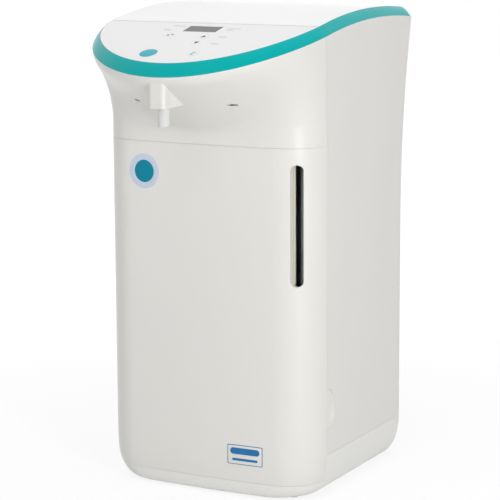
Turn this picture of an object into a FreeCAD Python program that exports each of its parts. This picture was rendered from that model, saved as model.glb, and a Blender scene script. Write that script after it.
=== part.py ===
"""A bench-top ultrapure water system, built from its driving sizes in millimetres.

The housing is a bowed column with rounded corners. Its head grows forward into an overhanging
nose, and one circular arc, seen from the side, gives the height of the crown ring, the control
panel and the lid. X runs across, -Y is the front, +Z is up, and the origin lies under the
middle of the object's box, on the surface that it stands on.
"""
import FreeCAD, Part
import math
import os
import Sketcher
from FreeCAD import Placement, Rotation, Vector

SIZES = {
    # Housing plan and heights
    "body_width": 280, "body_depth": 272.2, "bow_radius": 1290, "corner_radius": 50,
    "rear_corner_radius": 20, "wall": 3, "seam": 0.5, "foot_height": 3, "tray_side_height": 48.7,
    "tray_front_height": 17, "tray_side_round": 22, "tray_front_round": 10, "tray_rear_round": 10,
    "cover_height": 395.8, "parting_setback": 50.6, "parting_lean": 16.8, "rear_panel_width": 236,
    # Crown: plan, arc and ring
    "crown_length": 376.4, "nose_radius": 145.4, "crown_rear_width": 299.6, "rear_overhang": 5.8,
    "crown_rear_radius": 21, "crown_arc_radius": 743.7, "crown_arc_setback": 280.2,
    "crown_peak": 555.6, "band_inset": 8.9, "band_rise": 10.9, "band_bulge": 0.9,
    "panel_length": 134.7, "skirt_depth": 10, "skirt_wall": 2, "lid_dome": 4,
    "crown_gap": 0.4, "nose_flare_rise": 8.7, "side_flare_rise": 27, "side_flare_height": 300,
    "lid_corner_radius": 22,
    # Spout shroud, nozzle and moulded slots in the head
    "shroud_width": 21.2, "shroud_bottom": 465.5, "shroud_setback": 2.5, "shroud_length": 48,
    "shroud_radius": 5, "shroud_wall": 2, "rim_radius": 1.2, "nozzle_radius": 6.9,
    "nozzle_taper": 0.5, "nozzle_setback": 19.7, "nozzle_drop": 21, "nozzle_bore": 4,
    "nozzle_flange_radius": 8.1, "nozzle_flange_height": 2, "nozzle_spigot_radius": 5,
    "nozzle_spigot_height": 5, "notch_spacing": 124, "notch_setback": 64.4, "notch_height": 467,
    "notch_width": 10, "notch_opening": 2.2, "notch_depth": 16,
    # Front cover: level slot, edge pegs and their catches
    "slot_x": 119, "slot_width": 12.6, "slot_length": 140.5, "slot_bottom": 256.5,
    "slot_rim": 1.8, "slot_depth": 17, "peg_inset": 5, "peg_width": 4, "peg_length": 22,
    "peg_overlap": 9.2, "peg_height": 8, "peg_low": 62, "peg_high": 280, "catch_leaf": 1.6,
    "catch_width": 7.4, "catch_length": 15, "catch_gap": 0.35, "catch_seat": 0.1,
    # Finger recess in each side panel
    "recess_length": 21, "recess_height": 49.4, "recess_depth": 8, "recess_centre": 106.3,
    # Feet
    "foot_radius": 10, "foot_inset": 42, "foot_recess": 0.8,
    # Keys and display on the control panel
    "key_radius": 5.5, "key_flange": 1.3, "key_flange_height": 1, "key_gap": 0.25,
    "key_seat": 0.1, "key_proud": 0.15, "key_travel": 0.4, "menu_x": -29.5, "menu_setback": 85.5,
    "up_x": 15.7, "up_setback": 85, "down_x": 16.4, "down_setback": 63.8, "dispense_x": 29.5,
    "dispense_setback": 34.5, "switch_width": 6.2, "board_depth": 11, "board_width": 96,
    "board_length": 100, "board_thickness": 1.6, "board_setback": 74, "board_post": 3,
    "board_post_edge": 1,
    "display_width": 42.6, "display_length": 20.9, "display_setback": 110.3,
    "display_thickness": 3, "display_gap": 0.2, "module_width": 50, "module_length": 27,
    # Deck, lid hinge
    "deck_height": 524, "deck_thickness": 3, "deck_gap": 0.1, "hinge_setback": 16.7,
    "hinge_drop": 2.4, "knuckle_radius": 2.4, "knuckle_width": 22, "knuckle_x": 74,
    "ear_width": 5, "ear_gap": 0.4, "pin_radius": 1, "pin_gap": 0.05, "hinge_relief": 2,
    # Inner frame
    "sheet": 1.5, "bulkhead_y": 18, "bulkhead_width": 264, "flange": 15,
    "notch_corner_width": 30, "notch_corner_height": 22, "shelf_height": 212,
    "shelf_thickness": 2, "shelf_x": -54, "shelf_width": 184, "shelf_depth": 148,
    # Feed tank, its cap and its float
    "tank_gap": 6, "tank_depth": 140, "tank_height": 296, "tank_wall": 3, "tank_round": 8,
    "neck_radius": 35, "neck_wall": 4, "neck_height": 24, "neck_gap": 6.6, "cap_wall": 3,
    "cap_gap": 0.4, "cap_height": 17, "cap_lift": 0.3, "gasket_height": 0.8,
    "flute_count": 16, "flute_radius": 3, "stem_radius": 3, "stem_height": 64, "stem_x": 92,
    "stem_back": 104, "stop_radius": 6, "stop_height": 4, "float_radius": 14,
    "float_height": 20, "float_gap": 0.4, "float_seat": 0.3,
    # Level tube behind the slot
    "level_radius": 5, "level_wall": 1.2, "level_y": -56, "level_low": 243, "level_high": 411,
    "elbow_size": 13,
    # Cartridges
    "cartridge_radius": 38, "cartridge_height": 330, "cartridge_left": -72,
    "cartridge_right": 12, "cartridge_y": -30, "cap_band": 26, "cap_step": 1.6,
    "shoulder_height": 16, "spout_radius": 13, "spout_height": 12, "seat_wall": 2.4,
    "seat_depth": 14, "seat_floor": 3, "seat_gap": 0.4, "clip_wall": 2, "clip_height": 18,
    "clip_gap": 0.3, "clip_low": 110, "clip_high": 250, "clip_mouth": 48,
    "manifold_height": 26, "manifold_depth": 34, "manifold_margin": 18,
    # Pump
    "pump_y": 95, "pump_z": 62, "motor_radius": 32, "motor_length": 92, "motor_x": 22,
    "pump_radius": 35, "pump_length": 50, "pump_port": 7, "port_length": 8, "fin_radius": 2,
    "cradle_width": 60, "cradle_gap": 0.3, "cradle_rise": 14,
    # Ultraviolet chamber
    "uv_x": -100, "uv_y": 60, "uv_radius": 19, "uv_low": 222, "uv_length": 276,
    "uv_cap": 22, "uv_cap_step": 3, "uv_port_radius": 5, "uv_port_height": 466,
    "clamp_wall": 2, "clamp_height": 14, "clamp_low": 262, "clamp_high": 420,
    # Final filter, resistivity cell and dispense valve
    "filter_x": 60, "filter_y": -12, "filter_radius": 27, "filter_low": 390,
    "filter_length": 100, "filter_cone": 14, "filter_port": 6, "filter_clip_height": 425,
    "cell_y": -70, "cell_radius": 9, "cell_low": 396, "cell_length": 46,
    "head_shelf_height": 455, "head_shelf_width": 140, "head_shelf_front": -92,
    "head_shelf_nose": 56, "head_shelf_step": 16,
    "valve_width": 34, "valve_length": 40, "valve_height": 40, "valve_front": -90,
    "coil_radius": 13, "coil_height": 24,
    # Tubing
    "hose_radius": 4, "hose_bore": 2.6, "bend_radius": 12, "hose_hole": 5.5,
    "hose_top": 513, "hose_loop": 20, "hose_low": 372, "hose_column": -69, "column_y": 29,
    "riser_y": -8,
    "drain_x": 84, "drain_y": 150, "drain_z": 78, "drain_radius": 7, "drain_nut": 11,
    "drain_reach": 5.4, "drain_lip": 3,
    # Electrics
    "supply_width": 56, "supply_length": 128, "supply_height": 88, "supply_x": -108,
    "supply_y": 35, "inlet_x": -86, "inlet_z": 122, "inlet_width": 30, "inlet_height": 24,
    "inlet_depth": 24, "inlet_bezel": 4, "bezel_height": 2, "inlet_wall": 2.2,
    "blade_width": 5, "blade_thickness": 2, "blade_length": 14, "blade_pitch": 7,
    "switch_z": 168, "frame_width": 21, "frame_height": 31, "rocker_width": 15,
    "rocker_height": 24, "rocker_rise": 4.4, "rocker_dip": 2.2, "rocker_depth": 5,
    "rocker_tilt": 7, "rocker_gap": 0.9, "trunnion_radius": 1.2, "trunnion_run": 1.8,
    "board_x": 62, "board_z": 62, "main_width": 64, "main_height": 130, "post_radius": 3,
    "post_length": 6, "part_height": 9,
    # Rear louvres and screws
    "louvre_count": 9, "louvre_width": 90, "louvre_height": 4, "louvre_pitch": 10,
    "louvre_low": 330, "rail_width": 18, "rail_thickness": 3, "rail_gap": 0.4,
    "screw_radius": 2, "screw_head": 3.8, "screw_head_height": 2.2,
    "screw_low": 90, "screw_pitch": 95, "screw_count": 3, "screw_inset": 8,
    # How far a cutting tool runs past the piece that it cuts
    "overrun": 40,
}

# Shares of a length, chosen by hand
NOSE_BEND = 0.171
SIDE_FLARE = (0, 0.2, 0.303, 1.1, 0.937, 1)
SIDE_FLARE_POWER = 2.5
DOME_POWER = 1.4
BOARD_POST_SHARE = 0.42
HOSE_END_SHARE = 0.9
HOSE_MIDDLE_SHARE = 0.48
MANIFOLD_HEAD_SHARE = 0.75
FITTING_SHARE = 1.5
ROCKER_TAPER = 0.7

# How many sections, spokes and steps make the smooth surfaces
LOW_SECTIONS = 12
HIGH_SECTIONS = 24
SPOKES = 24
ROUND_STEPS = 5

doc = FreeCAD.newDocument("water_system")
sheet = doc.addObject("Spreadsheet::Sheet", "Sizes")
for row, (alias, number) in enumerate(SIZES.items(), start=1):
    sheet.set(f"A{row}", alias)
    sheet.set(f"B{row}", str(number))
    sheet.setAlias(f"B{row}", alias)
doc.recompute()


class Size:
    """A number together with the sum of sheet cells that gives it."""

    def __init__(self, number, words):
        self.number = float(number)
        self.words = words

    def __float__(self):
        return self.number

    def join(self, other, sign, number, swap=False):
        words = other.words if isinstance(other, Size) else repr(float(other))
        left, right = (words, self.words) if swap else (self.words, words)
        return Size(number, f"({left} {sign} {right})")

    def __add__(self, other):
        return self.join(other, "+", self.number + float(other))

    def __radd__(self, other):
        return self.join(other, "+", float(other) + self.number, swap=True)

    def __sub__(self, other):
        return self.join(other, "-", self.number - float(other))

    def __rsub__(self, other):
        return self.join(other, "-", float(other) - self.number, swap=True)

    def __mul__(self, other):
        return self.join(other, "*", self.number * float(other))

    def __rmul__(self, other):
        return self.join(other, "*", float(other) * self.number, swap=True)

    def __truediv__(self, other):
        return self.join(other, "/", self.number / float(other))

    def __neg__(self):
        return 0 - self


class SheetCells:
    """Gives a sheet cell by its alias."""

    def __getattr__(self, alias):
        return Size(sheet.get(alias), "Sizes." + alias)


s = SheetCells()
pieces = []


def root(size):
    """The square root of a size."""
    return Size(math.sqrt(size.number), f"sqrt({size.words})")


def tie(thing, prop, size):
    """Bind one property to the sheet, or leave it at zero."""
    if isinstance(size, Size):
        thing.setExpression(prop, size.words)


def place(thing, at, turn=None):
    """Put a thing at a point, turned about an axis by some degrees."""
    if turn:
        thing.Placement.Rotation = Rotation(Vector(*turn[0]), float(turn[1]))
    for axis, size in zip("xyz", at):
        tie(thing, "Placement.Base." + axis, size)
    return thing


def box(size, at):
    """A block by its three lengths and its lowest corner."""
    block = doc.addObject("Part::Box", "block")
    for prop, length in zip(("Length", "Width", "Height"), size):
        tie(block, prop, length)
    return place(block, at)


AXIS_TURNS = {"x": ((0, 1, 0), 90), "y": ((1, 0, 0), -90), "z": None}


def cylinder(radius, height, at, axis="z"):
    """A round bar that starts at a point and runs along an axis."""
    bar = doc.addObject("Part::Cylinder", "bar")
    tie(bar, "Radius", radius)
    tie(bar, "Height", height)
    return place(bar, at, AXIS_TURNS[axis])


def fuse(*solids):
    """One solid out of several that meet."""
    joined = doc.addObject("Part::MultiFuse", "joined")
    joined.Shapes = list(solids)
    return joined


def cut(base, *tools):
    """A solid with others taken away."""
    trimmed = doc.addObject("Part::Cut", "trimmed")
    trimmed.Base = base
    trimmed.Tool = tools[0] if len(tools) == 1 else fuse(*tools)
    return trimmed


def group(solids):
    """Several separate solids that make one sub-part."""
    bundle = doc.addObject("Part::Compound", "bundle")
    bundle.Links = list(solids)
    return bundle


def made(shape, label="moulding"):
    """A shape worked out below, as an object of the document."""
    feature = doc.addObject("Part::Feature", label)
    feature.Shape = shape
    return feature


def piece(name, thing):
    """Name a finished sub-part and keep it for export."""
    thing.Label = name
    pieces.append(thing)
    return thing


def origin_plane(body, role):
    """One of a body's own origin planes."""
    return next(item for item in body.Origin.OriginFeatures if item.Role == role)


def outline_sketch(body, role, outline):
    """A closed outline of straight edges, each corner tied to the sheet."""
    sketch = body.newObject("Sketcher::SketchObject", "outline")
    sketch.AttachmentSupport = [(origin_plane(body, role), "")]
    sketch.MapMode = "FlatFace"
    corners = [Vector(float(across), float(up), 0) for across, up in outline]
    for corner, following in zip(corners, corners[1:] + corners[:1]):
        sketch.addGeometry(Part.LineSegment(corner, following), False)
    count = len(corners)
    for edge in range(count):
        sketch.addConstraint(Sketcher.Constraint("Coincident", edge, 2, (edge + 1) % count, 1))
    for edge, corner in enumerate(outline):
        for kind, axis, size in (("DistanceX", -2, corner[0]), ("DistanceY", -1, corner[1])):
            if isinstance(size, Size):
                rule = Sketcher.Constraint(kind, -1, 1, edge, 1, size.number)
                number = sketch.addConstraint(rule)
                sketch.setExpression(f"Constraints[{number}]", size.words)
            else:
                sketch.addConstraint(Sketcher.Constraint("PointOnObject", edge, 1, axis))
    return sketch


def turned(outline, at, turn=None):
    """A body turned about the Z axis from an outline of (radius, height) corners."""
    body = doc.addObject("PartDesign::Body", "turned")
    sketch = outline_sketch(body, "XZ_Plane", outline)
    spin = body.newObject("PartDesign::Revolution", "spin")
    spin.Profile = sketch
    spin.ReferenceAxis = (sketch, ["V_Axis"])
    spin.Angle = 360
    return place(body, at, turn)


def folded(outline, width, at):
    """A profile in the YZ plane, padded both ways along X, as bent sheet is."""
    body = doc.addObject("PartDesign::Body", "folded")
    sketch = outline_sketch(body, "YZ_Plane", outline)
    pad = body.newObject("PartDesign::Pad", "pad")
    pad.Profile = sketch
    tie(pad, "Length", width)
    pad.Midplane = True
    return place(body, at)


# Places that many pieces share
nose = -s.crown_length / 2
crown_back = s.crown_length / 2
back = crown_back - s.rear_overhang
front = back - s.body_depth
side = s.body_width / 2
floor = s.foot_height + s.wall
cover_bottom = s.foot_height + s.tray_front_height
side_seam = s.foot_height + s.tray_side_height
cover_top = cover_bottom + s.cover_height
parting = front + s.parting_setback
nose_centre = nose + s.nose_radius
lid_seam = nose + s.panel_length
arc_y = nose + s.crown_arc_setback
arc_z = s.crown_peak - s.crown_arc_radius
corner_rise = (s.bow_radius - s.corner_radius) * (s.bow_radius - s.corner_radius)
corner_run = (side - s.corner_radius) * (side - s.corner_radius)
corner_y = front + s.bow_radius - root(corner_rise - corner_run)
wide = s.crown_rear_width + s.overrun * 2
tall = s.crown_peak + s.overrun * 2


def crown_height(y, rise=0.0):
    """Height of the crown's arc over a place along Y."""
    radius = s.crown_arc_radius + rise
    run = y - arc_y
    return arc_z + root(radius * radius - run * run)


def on_crown(x, y, depth):
    """The placement of a thing that sits square under the crown's top surface."""
    radius = float(s.crown_arc_radius + s.band_rise)
    lean = math.asin((float(y) - float(arc_y)) / radius)
    reach = radius - float(depth)
    foot = Vector(float(x), float(arc_y) + reach * math.sin(lean),
                  float(arc_z) + reach * math.cos(lean))
    return Placement(foot, Rotation(Vector(1, 0, 0), -math.degrees(lean)))


# Outlines of the housing, as wires at a height

def arc(start, middle, end):
    """An edge through three points."""
    return Part.Arc(start, middle, end).toShape()


def line(start, end):
    """A straight edge."""
    return Part.LineSegment(start, end).toShape()


def corner_arc(centre, radius, from_degrees, to_degrees):
    """A quarter-turn edge of a plan outline."""
    points = []
    for share in (0, 0.5, 1):
        angle = math.radians(from_degrees + (to_degrees - from_degrees) * share)
        points.append(centre + Vector(math.cos(angle), math.sin(angle), 0) * radius)
    return arc(*points)


def body_plan(height, side_inset, front_inset, rear_inset):
    """The column's outline: bowed front, rounded corners, straight sides and back."""
    half = float(side) - side_inset
    front_y = float(front) + front_inset
    back_y = float(back) - rear_inset
    bow = float(s.bow_radius)
    radius = float(s.corner_radius) - min(side_inset, float(s.wall))
    rear_radius = float(s.rear_corner_radius) - min(rear_inset, float(s.wall))
    centre_y = front_y + bow - math.sqrt((bow - radius) ** 2 - (half - radius) ** 2)
    bow_centre = Vector(0, front_y + bow, height)
    right_centre = Vector(half - radius, centre_y, height)
    toward = (right_centre - bow_centre).normalize()
    right_tangent = bow_centre + toward * bow
    left_centre = Vector(-right_centre.x, centre_y, height)
    left_tangent = Vector(-right_tangent.x, right_tangent.y, height)
    start = math.degrees(math.atan2(toward.y, toward.x))
    rear_y = back_y - rear_radius
    edges = [
        arc(left_tangent, Vector(0, front_y, height), right_tangent),
        corner_arc(right_centre, radius, start, 0),
        line(Vector(half, centre_y, height), Vector(half, rear_y, height)),
        corner_arc(Vector(half - rear_radius, rear_y, height), rear_radius, 0, 90),
        line(Vector(half - rear_radius, back_y, height), Vector(rear_radius - half, back_y, height)),
        corner_arc(Vector(rear_radius - half, rear_y, height), rear_radius, 90, 180),
        line(Vector(-half, rear_y, height), Vector(-half, centre_y, height)),
        corner_arc(left_centre, radius, 180, 180 - start),
    ]
    return Part.Wire(edges)


def tray_block(skin):
    """The column below the side seam, its lower edge rounded like an ellipse."""
    top = float(side_seam)
    drop = float(s.tray_side_height) - skin
    sections = []
    for step in range(ROUND_STEPS + 1):
        turn = math.pi / 2 * step / ROUND_STEPS
        insets = [skin + float(size) * (1 - math.cos(turn))
                  for size in (s.tray_side_round, s.tray_front_round, s.tray_rear_round)]
        sections.append(body_plan(top - drop * math.sin(turn), *insets))
    return Part.makeLoft(sections, True, False)


def column_block(skin, low, high):
    """The straight column between two heights."""
    base = Part.Face(body_plan(float(low), skin, skin, skin))
    return base.extrude(Vector(0, 0, float(high) - float(low)))


def ramp(share, bend):
    """A steady rise from 0 to 1, with a gentle bend at each end."""
    share = min(max(share, 0), 1)
    slope = 1 / (1 - bend)
    if share < bend:
        return slope * share ** 2 / (2 * bend)
    if share > 1 - bend:
        return 1 - slope * (1 - share) ** 2 / (2 * bend)
    return slope * (share - bend / 2)


def blend(values, share):
    """The height of a Bezier curve over a share, from its control values."""
    share = min(max(share, 0), 1)
    while len(values) > 1:
        values = [low + (high - low) * share for low, high in zip(values, values[1:])]
    return values[0]


def body_reach(angle):
    """How far the column's outline lies from the spoke centre, along a spoke."""
    across, ahead = math.sin(angle), math.cos(angle)
    bow = float(s.bow_radius)
    radius = float(s.corner_radius)
    run = float(side) - radius
    offset = float(front) + bow - float(corner_y)
    bow_hit = math.sqrt(bow ** 2 - (offset * across) ** 2) - offset * ahead
    tangent = bow * run / (bow - radius)
    if bow_hit * abs(across) <= tangent:
        return bow_hit
    inner = run * abs(across)
    return inner + math.sqrt(radius ** 2 - (run * ahead) ** 2)


crown_taper = math.atan2(float(s.crown_rear_width) / 2 - float(s.nose_radius),
                         float(back) - float(nose_centre))


def crown_half_width(y):
    """Half the crown's width behind the nose."""
    start = float(s.nose_radius) / math.cos(crown_taper)
    return start + (y - float(nose_centre)) * math.tan(crown_taper)


def crown_reach(angle):
    """How far the crown's outline lies from the spoke centre, along a spoke."""
    across, ahead = math.sin(angle), math.cos(angle)
    radius = float(s.nose_radius)
    offset = float(corner_y) - float(nose_centre)
    nose_hit = offset * ahead + math.sqrt(radius ** 2 - (offset * across) ** 2)
    tangent_y = float(nose_centre) - radius * math.sin(crown_taper)
    if float(corner_y) - nose_hit * ahead <= tangent_y:
        return nose_hit
    width = crown_half_width(float(corner_y))
    return width / (abs(across) + ahead * math.tan(crown_taper))


def flare_share(angle, height):
    """How far a spoke has gone from the column's outline to the crown's at a height."""
    lip_y = float(corner_y) - crown_reach(angle) * math.cos(angle)
    weight = abs(math.sin(angle)) ** SIDE_FLARE_POWER
    rise = float(s.nose_flare_rise) * (1 - weight) + float(s.side_flare_rise) * weight
    start = float(cover_top) + rise
    share = (height - start) / (float(crown_height(lip_y)) - start)
    return ramp(share, NOSE_BEND) * (1 - weight) + blend(SIDE_FLARE, share) * weight


def head_plan(height, skin):
    """The outline of the upper housing: spokes to the front, straight sides, rounded rear."""
    shape_height = height - skin
    points = []
    for spoke in range(SPOKES + 1):
        angle = math.pi * (spoke / SPOKES - 0.5)
        inner, outer = body_reach(angle), crown_reach(angle)
        reach = inner + (outer - inner) * flare_share(angle, shape_height) - skin
        points.append(Vector(reach * math.sin(angle), float(corner_y) - reach * math.cos(angle),
                             height))
    start = float(s.side_flare_height)
    end = float(crown_height(float(back)))
    rear_share = min(max((shape_height - start) / (end - start), 0), 1) ** 2
    half = float(side) + (float(s.crown_rear_width) / 2 - float(side)) * rear_share - skin
    back_y = float(back) + float(s.rear_overhang) * rear_share - skin
    radius = float(s.rear_corner_radius) - skin
    rear_y = back_y - radius
    sweep = Part.BSplineCurve()
    sweep.interpolate(Points=points, Parameters=[spoke / SPOKES for spoke in range(SPOKES + 1)])
    edges = [
        sweep.toShape(),
        line(points[-1], Vector(half, rear_y, height)),
        corner_arc(Vector(half - radius, rear_y, height), radius, 0, 90),
        line(Vector(half - radius, back_y, height), Vector(radius - half, back_y, height)),
        corner_arc(Vector(radius - half, rear_y, height), radius, 90, 180),
        line(Vector(-half, rear_y, height), points[0]),
    ]
    return Part.Wire(edges)


def upper_block(skin):
    """The housing from the side seam up: straight, then flaring into the crown."""
    low, middle = float(side_seam), float(cover_top)
    high = float(s.crown_peak + s.overrun)
    heights = [low + (middle - low) * step / LOW_SECTIONS for step in range(LOW_SECTIONS)]
    heights += [middle + (high - middle) * step / HIGH_SECTIONS for step in range(HIGH_SECTIONS + 1)]
    return Part.makeLoft([head_plan(height, skin) for height in heights], True, False)


def side_view_block(corners, half_width):
    """A block whose outline is given in side view, as (y, z) corners."""
    points = [Vector(-half_width, float(y), float(z)) for y, z in corners]
    face = Part.Face(Part.makePolygon(points + points[:1]))
    return face.extrude(Vector(2 * half_width, 0, 0))


def under_arc(rise):
    """Everything under the crown's arc, raised by a little."""
    radius = float(s.crown_arc_radius) + rise
    start = Vector(-float(wide) / 2, float(arc_y), float(arc_z))
    return Part.makeCylinder(radius, float(wide), start, Vector(1, 0, 0))


def crown_plan(inset, rear_radius=None):
    """The crown's outline at height zero: round nose, tapering sides, round rear corners."""
    radius = float(s.nose_radius) - inset
    centre_y = float(nose_centre)
    lean = crown_taper
    left = Vector(-radius * math.cos(lean), centre_y - radius * math.sin(lean), 0)
    right = Vector(-left.x, left.y, 0)
    tip = Vector(0, centre_y - radius, 0)
    rear_radius = rear_radius or float(s.crown_rear_radius) - inset / 2
    back_y = float(crown_back) - inset
    corner_centre_y = back_y - rear_radius
    along = (corner_centre_y - rear_radius * math.sin(lean) - right.y)
    rear_x = right.x + along * math.tan(lean)
    centre = Vector(rear_x - rear_radius * math.cos(lean), corner_centre_y, 0)
    tilt = math.degrees(lean)
    mirror = Vector(-centre.x, centre.y, 0)
    right_rear = corner_arc(centre, rear_radius, -tilt, 90)
    left_rear = corner_arc(mirror, rear_radius, 90, 180 + tilt)
    ends = [edge.Vertexes for edge in (right_rear, left_rear)]
    edges = [
        arc(left, tip, right),
        line(right, ends[0][0].Point),
        right_rear,
        line(ends[0][1].Point, ends[1][0].Point),
        left_rear,
        line(ends[1][1].Point, left),
    ]
    return edges


def crown_prism(inset, rear_radius=None):
    """An upright block with the crown's outline."""
    face = Part.Face(Part.Wire(crown_plan(inset, rear_radius)))
    return face.extrude(Vector(0, 0, float(tall)))


def crown_slab(inset, low_rise, high_rise):
    """The slab between two heights over the crown's arc, inside the crown's outline."""
    slab = crown_prism(inset).common(under_arc(high_rise))
    return slab.cut(under_arc(low_rise))


def behind(y):
    """A block that holds everything behind a place along Y."""
    corners = [(y, 0), (y + float(wide), 0), (y + float(wide), tall), (y, tall)]
    return side_view_block(corners, float(wide))


wall = float(s.wall)
seam = float(s.seam)
half_seam = seam / 2
far = float(wide)

# The parting line between the front mouldings and the side panels, in side view
lean_height = float(crown_height(parting) - cover_top)
lean_slope = -float(s.parting_lean) / lean_height
top_y = float(parting) + lean_slope * (float(tall) - float(cover_top))


def ahead_of_parting(shift):
    """Everything in front of the parting line, which leans forward above the cover."""
    corners = [(-far, 0), (float(parting) + shift, 0), (float(parting) + shift, cover_top),
               (top_y + shift, tall), (-far, tall)]
    return side_view_block(corners, far)


def level_block(low, high):
    """Everything between two heights."""
    corners = [(-far, low), (far, low), (far, high), (-far, high)]
    return side_view_block(corners, far)


# Housing mouldings, each cut from the shell between an outer and an inner skin

tray_outer = tray_block(0.0)
tray_inner = tray_block(wall)
column_outer = tray_outer.fuse(column_block(0.0, side_seam, cover_top))
column_inner = tray_inner.fuse(column_block(wall, side_seam, cover_top))
upper_outer = upper_block(0.0)
upper_inner = upper_block(wall)


def base_tray():
    """The base: full height at the sides and back, a low sill under the front cover."""
    shell = tray_outer.cut(tray_inner)
    sill = ahead_of_parting(0.0).common(level_block(float(cover_bottom), float(tall)))
    tray = shell.cut(sill)
    for x, y in foot_places():
        seat = Part.makeCylinder(float(s.foot_radius + s.seam), float(s.foot_recess),
                                 Vector(x, y, float(s.foot_height)))
        tray = tray.cut(seat)
    return tray


def foot_places():
    """Where the four feet stand."""
    inset = float(s.foot_inset)
    x = float(side) - inset
    return [(sign * x, y) for sign in (-1, 1) for y in (float(front) + inset, float(back) - inset)]


def rounded_slot(width, height, depth, at):
    """A tool for an upright slot with round ends, running back along Y."""
    radius = width / 2
    x, y, z = at
    middle = Part.makeBox(width, depth, height - width, Vector(x - radius, y, z + radius))
    ends = [Part.makeCylinder(radius, depth, Vector(x, y, end), Vector(0, 1, 0))
            for end in (z + radius, z + height - radius)]
    return middle.fuse(ends)


def cover_pegs(grow, sign, shift=0.0):
    """The snap pegs at a side edge of the front cover, or the room round them."""
    outer = float(side) - wall - float(s.peg_inset)
    width = float(s.peg_width)
    x = sign * (outer - width / 2) - width / 2
    length = float(s.peg_length)
    start = float(parting) + float(s.peg_overlap) - length
    pegs = []
    for height in (float(s.peg_low), float(s.peg_high)):
        corner = Vector(x - grow, start - shift, height - grow)
        pegs.append(Part.makeBox(width + 2 * grow, length + shift + grow,
                                 float(s.peg_height) + 2 * grow, corner))
    return pegs


def front_cover():
    """The pull-off cover: a bowed shell that wraps both corners, with the level slot."""
    shell = column_outer.cut(column_inner)
    room = ahead_of_parting(-half_seam)
    room = room.common(level_block(float(cover_bottom) + half_seam, float(cover_top) - half_seam))
    cover = shell.common(room)
    slot_at = (float(s.slot_x), float(front), float(s.slot_bottom))
    rim = float(s.slot_rim)
    rim_at = (slot_at[0], slot_at[1], slot_at[2] - rim)
    sleeve = rounded_slot(float(s.slot_width) + 2 * rim, float(s.slot_length) + 2 * rim,
                          float(s.slot_depth), rim_at)
    cover = cover.fuse(sleeve.common(column_outer))
    cover = cover.cut(rounded_slot(float(s.slot_width), float(s.slot_length),
                                   float(s.slot_depth) + float(s.overrun), slot_at))
    for sign in (-1, 1):
        arms = []
        outer = float(side) - wall - float(s.peg_inset)
        for height in (float(s.peg_low), float(s.peg_high)):
            reach = float(s.peg_inset) + wall
            start = float(parting) - float(s.peg_length) + float(s.peg_overlap)
            length = float(s.peg_length) - float(s.peg_overlap) - seam
            x = outer if sign > 0 else -outer - reach
            arm = Part.makeBox(reach, length, float(s.peg_height), Vector(x, start, height))
            arms.append(arm.common(column_outer))
        cover = cover.fuse(arms + cover_pegs(0.0, sign))
    return cover


def shroud():
    """The spout shroud under the nose: a U-shaped boss with a rounded lower rim."""
    half = float(s.shroud_width) / 2
    radius = float(s.shroud_radius)
    y_front = float(nose + s.shroud_setback)
    y_back = y_front + float(s.shroud_length)
    low = float(s.shroud_bottom)
    points = [(-half, y_back), (-half, y_front + radius), (-half + radius, y_front),
              (half - radius, y_front), (half, y_front + radius), (half, y_back)]
    at = [Vector(x, y, low) for x, y in points]
    edges = [
        line(at[0], at[1]),
        corner_arc(Vector(-half + radius, y_front + radius, low), radius, 180, 270),
        line(at[2], at[3]),
        corner_arc(Vector(half - radius, y_front + radius, low), radius, 270, 360),
        line(at[4], at[5]),
        line(at[5], at[0]),
    ]
    height = float(s.crown_peak) - low
    boss = Part.Face(Part.Wire(edges)).extrude(Vector(0, 0, height))
    rim = [edge for edge in boss.Edges
           if edge.BoundBox.ZMax < low + seam and edge.BoundBox.YMin < y_back - seam]
    boss = boss.makeFillet(float(s.rim_radius), rim).common(under_arc(0.0))
    return boss.cut(upper_inner)


def shroud_room():
    """The room inside the shroud, over its floor, and the hole for the nozzle."""
    skin = float(s.shroud_wall)
    half = float(s.shroud_width) / 2 - skin
    y_front = float(nose + s.shroud_setback) + skin
    low = float(s.shroud_bottom) + skin
    length = float(s.shroud_length)
    room = Part.makeBox(2 * half, length, float(s.crown_peak) - low, Vector(-half, y_front, low))
    hole = Part.makeCylinder(float(s.nozzle_radius + s.crown_gap), float(s.overrun),
                             Vector(0, float(nozzle_y), low - float(s.overrun) / 2))
    return room.fuse(hole)


nozzle_y = nose + s.nozzle_setback


def head_cover():
    """The upper front moulding, which flares forward into the nose."""
    shell = upper_outer.cut(upper_inner)
    room = ahead_of_parting(-half_seam)
    room = room.common(level_block(float(cover_top) + half_seam, float(tall)))
    head = shell.common(room).common(under_arc(0.0))
    head = head.fuse(shroud()).cut(shroud_room())
    width, height = float(s.notch_width), float(s.notch_opening)
    depth = float(s.notch_depth)
    for sign in (-1, 1):
        x = sign * float(s.notch_spacing) / 2 - width / 2
        y = float(nose + s.notch_setback) - depth / 2
        z = float(s.notch_height) - height / 2
        head = head.cut(Part.makeBox(width, depth, height, Vector(x, y, z)))
    return head


def rear_room(grow):
    """The room of the rear panel, between the side panels' rear corners."""
    width = float(s.rear_panel_width) + 2 * grow
    depth = float(s.rear_corner_radius)
    return Part.makeBox(width, depth + float(s.overrun), float(tall),
                        Vector(-width / 2, float(back) - depth, 0))


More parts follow.
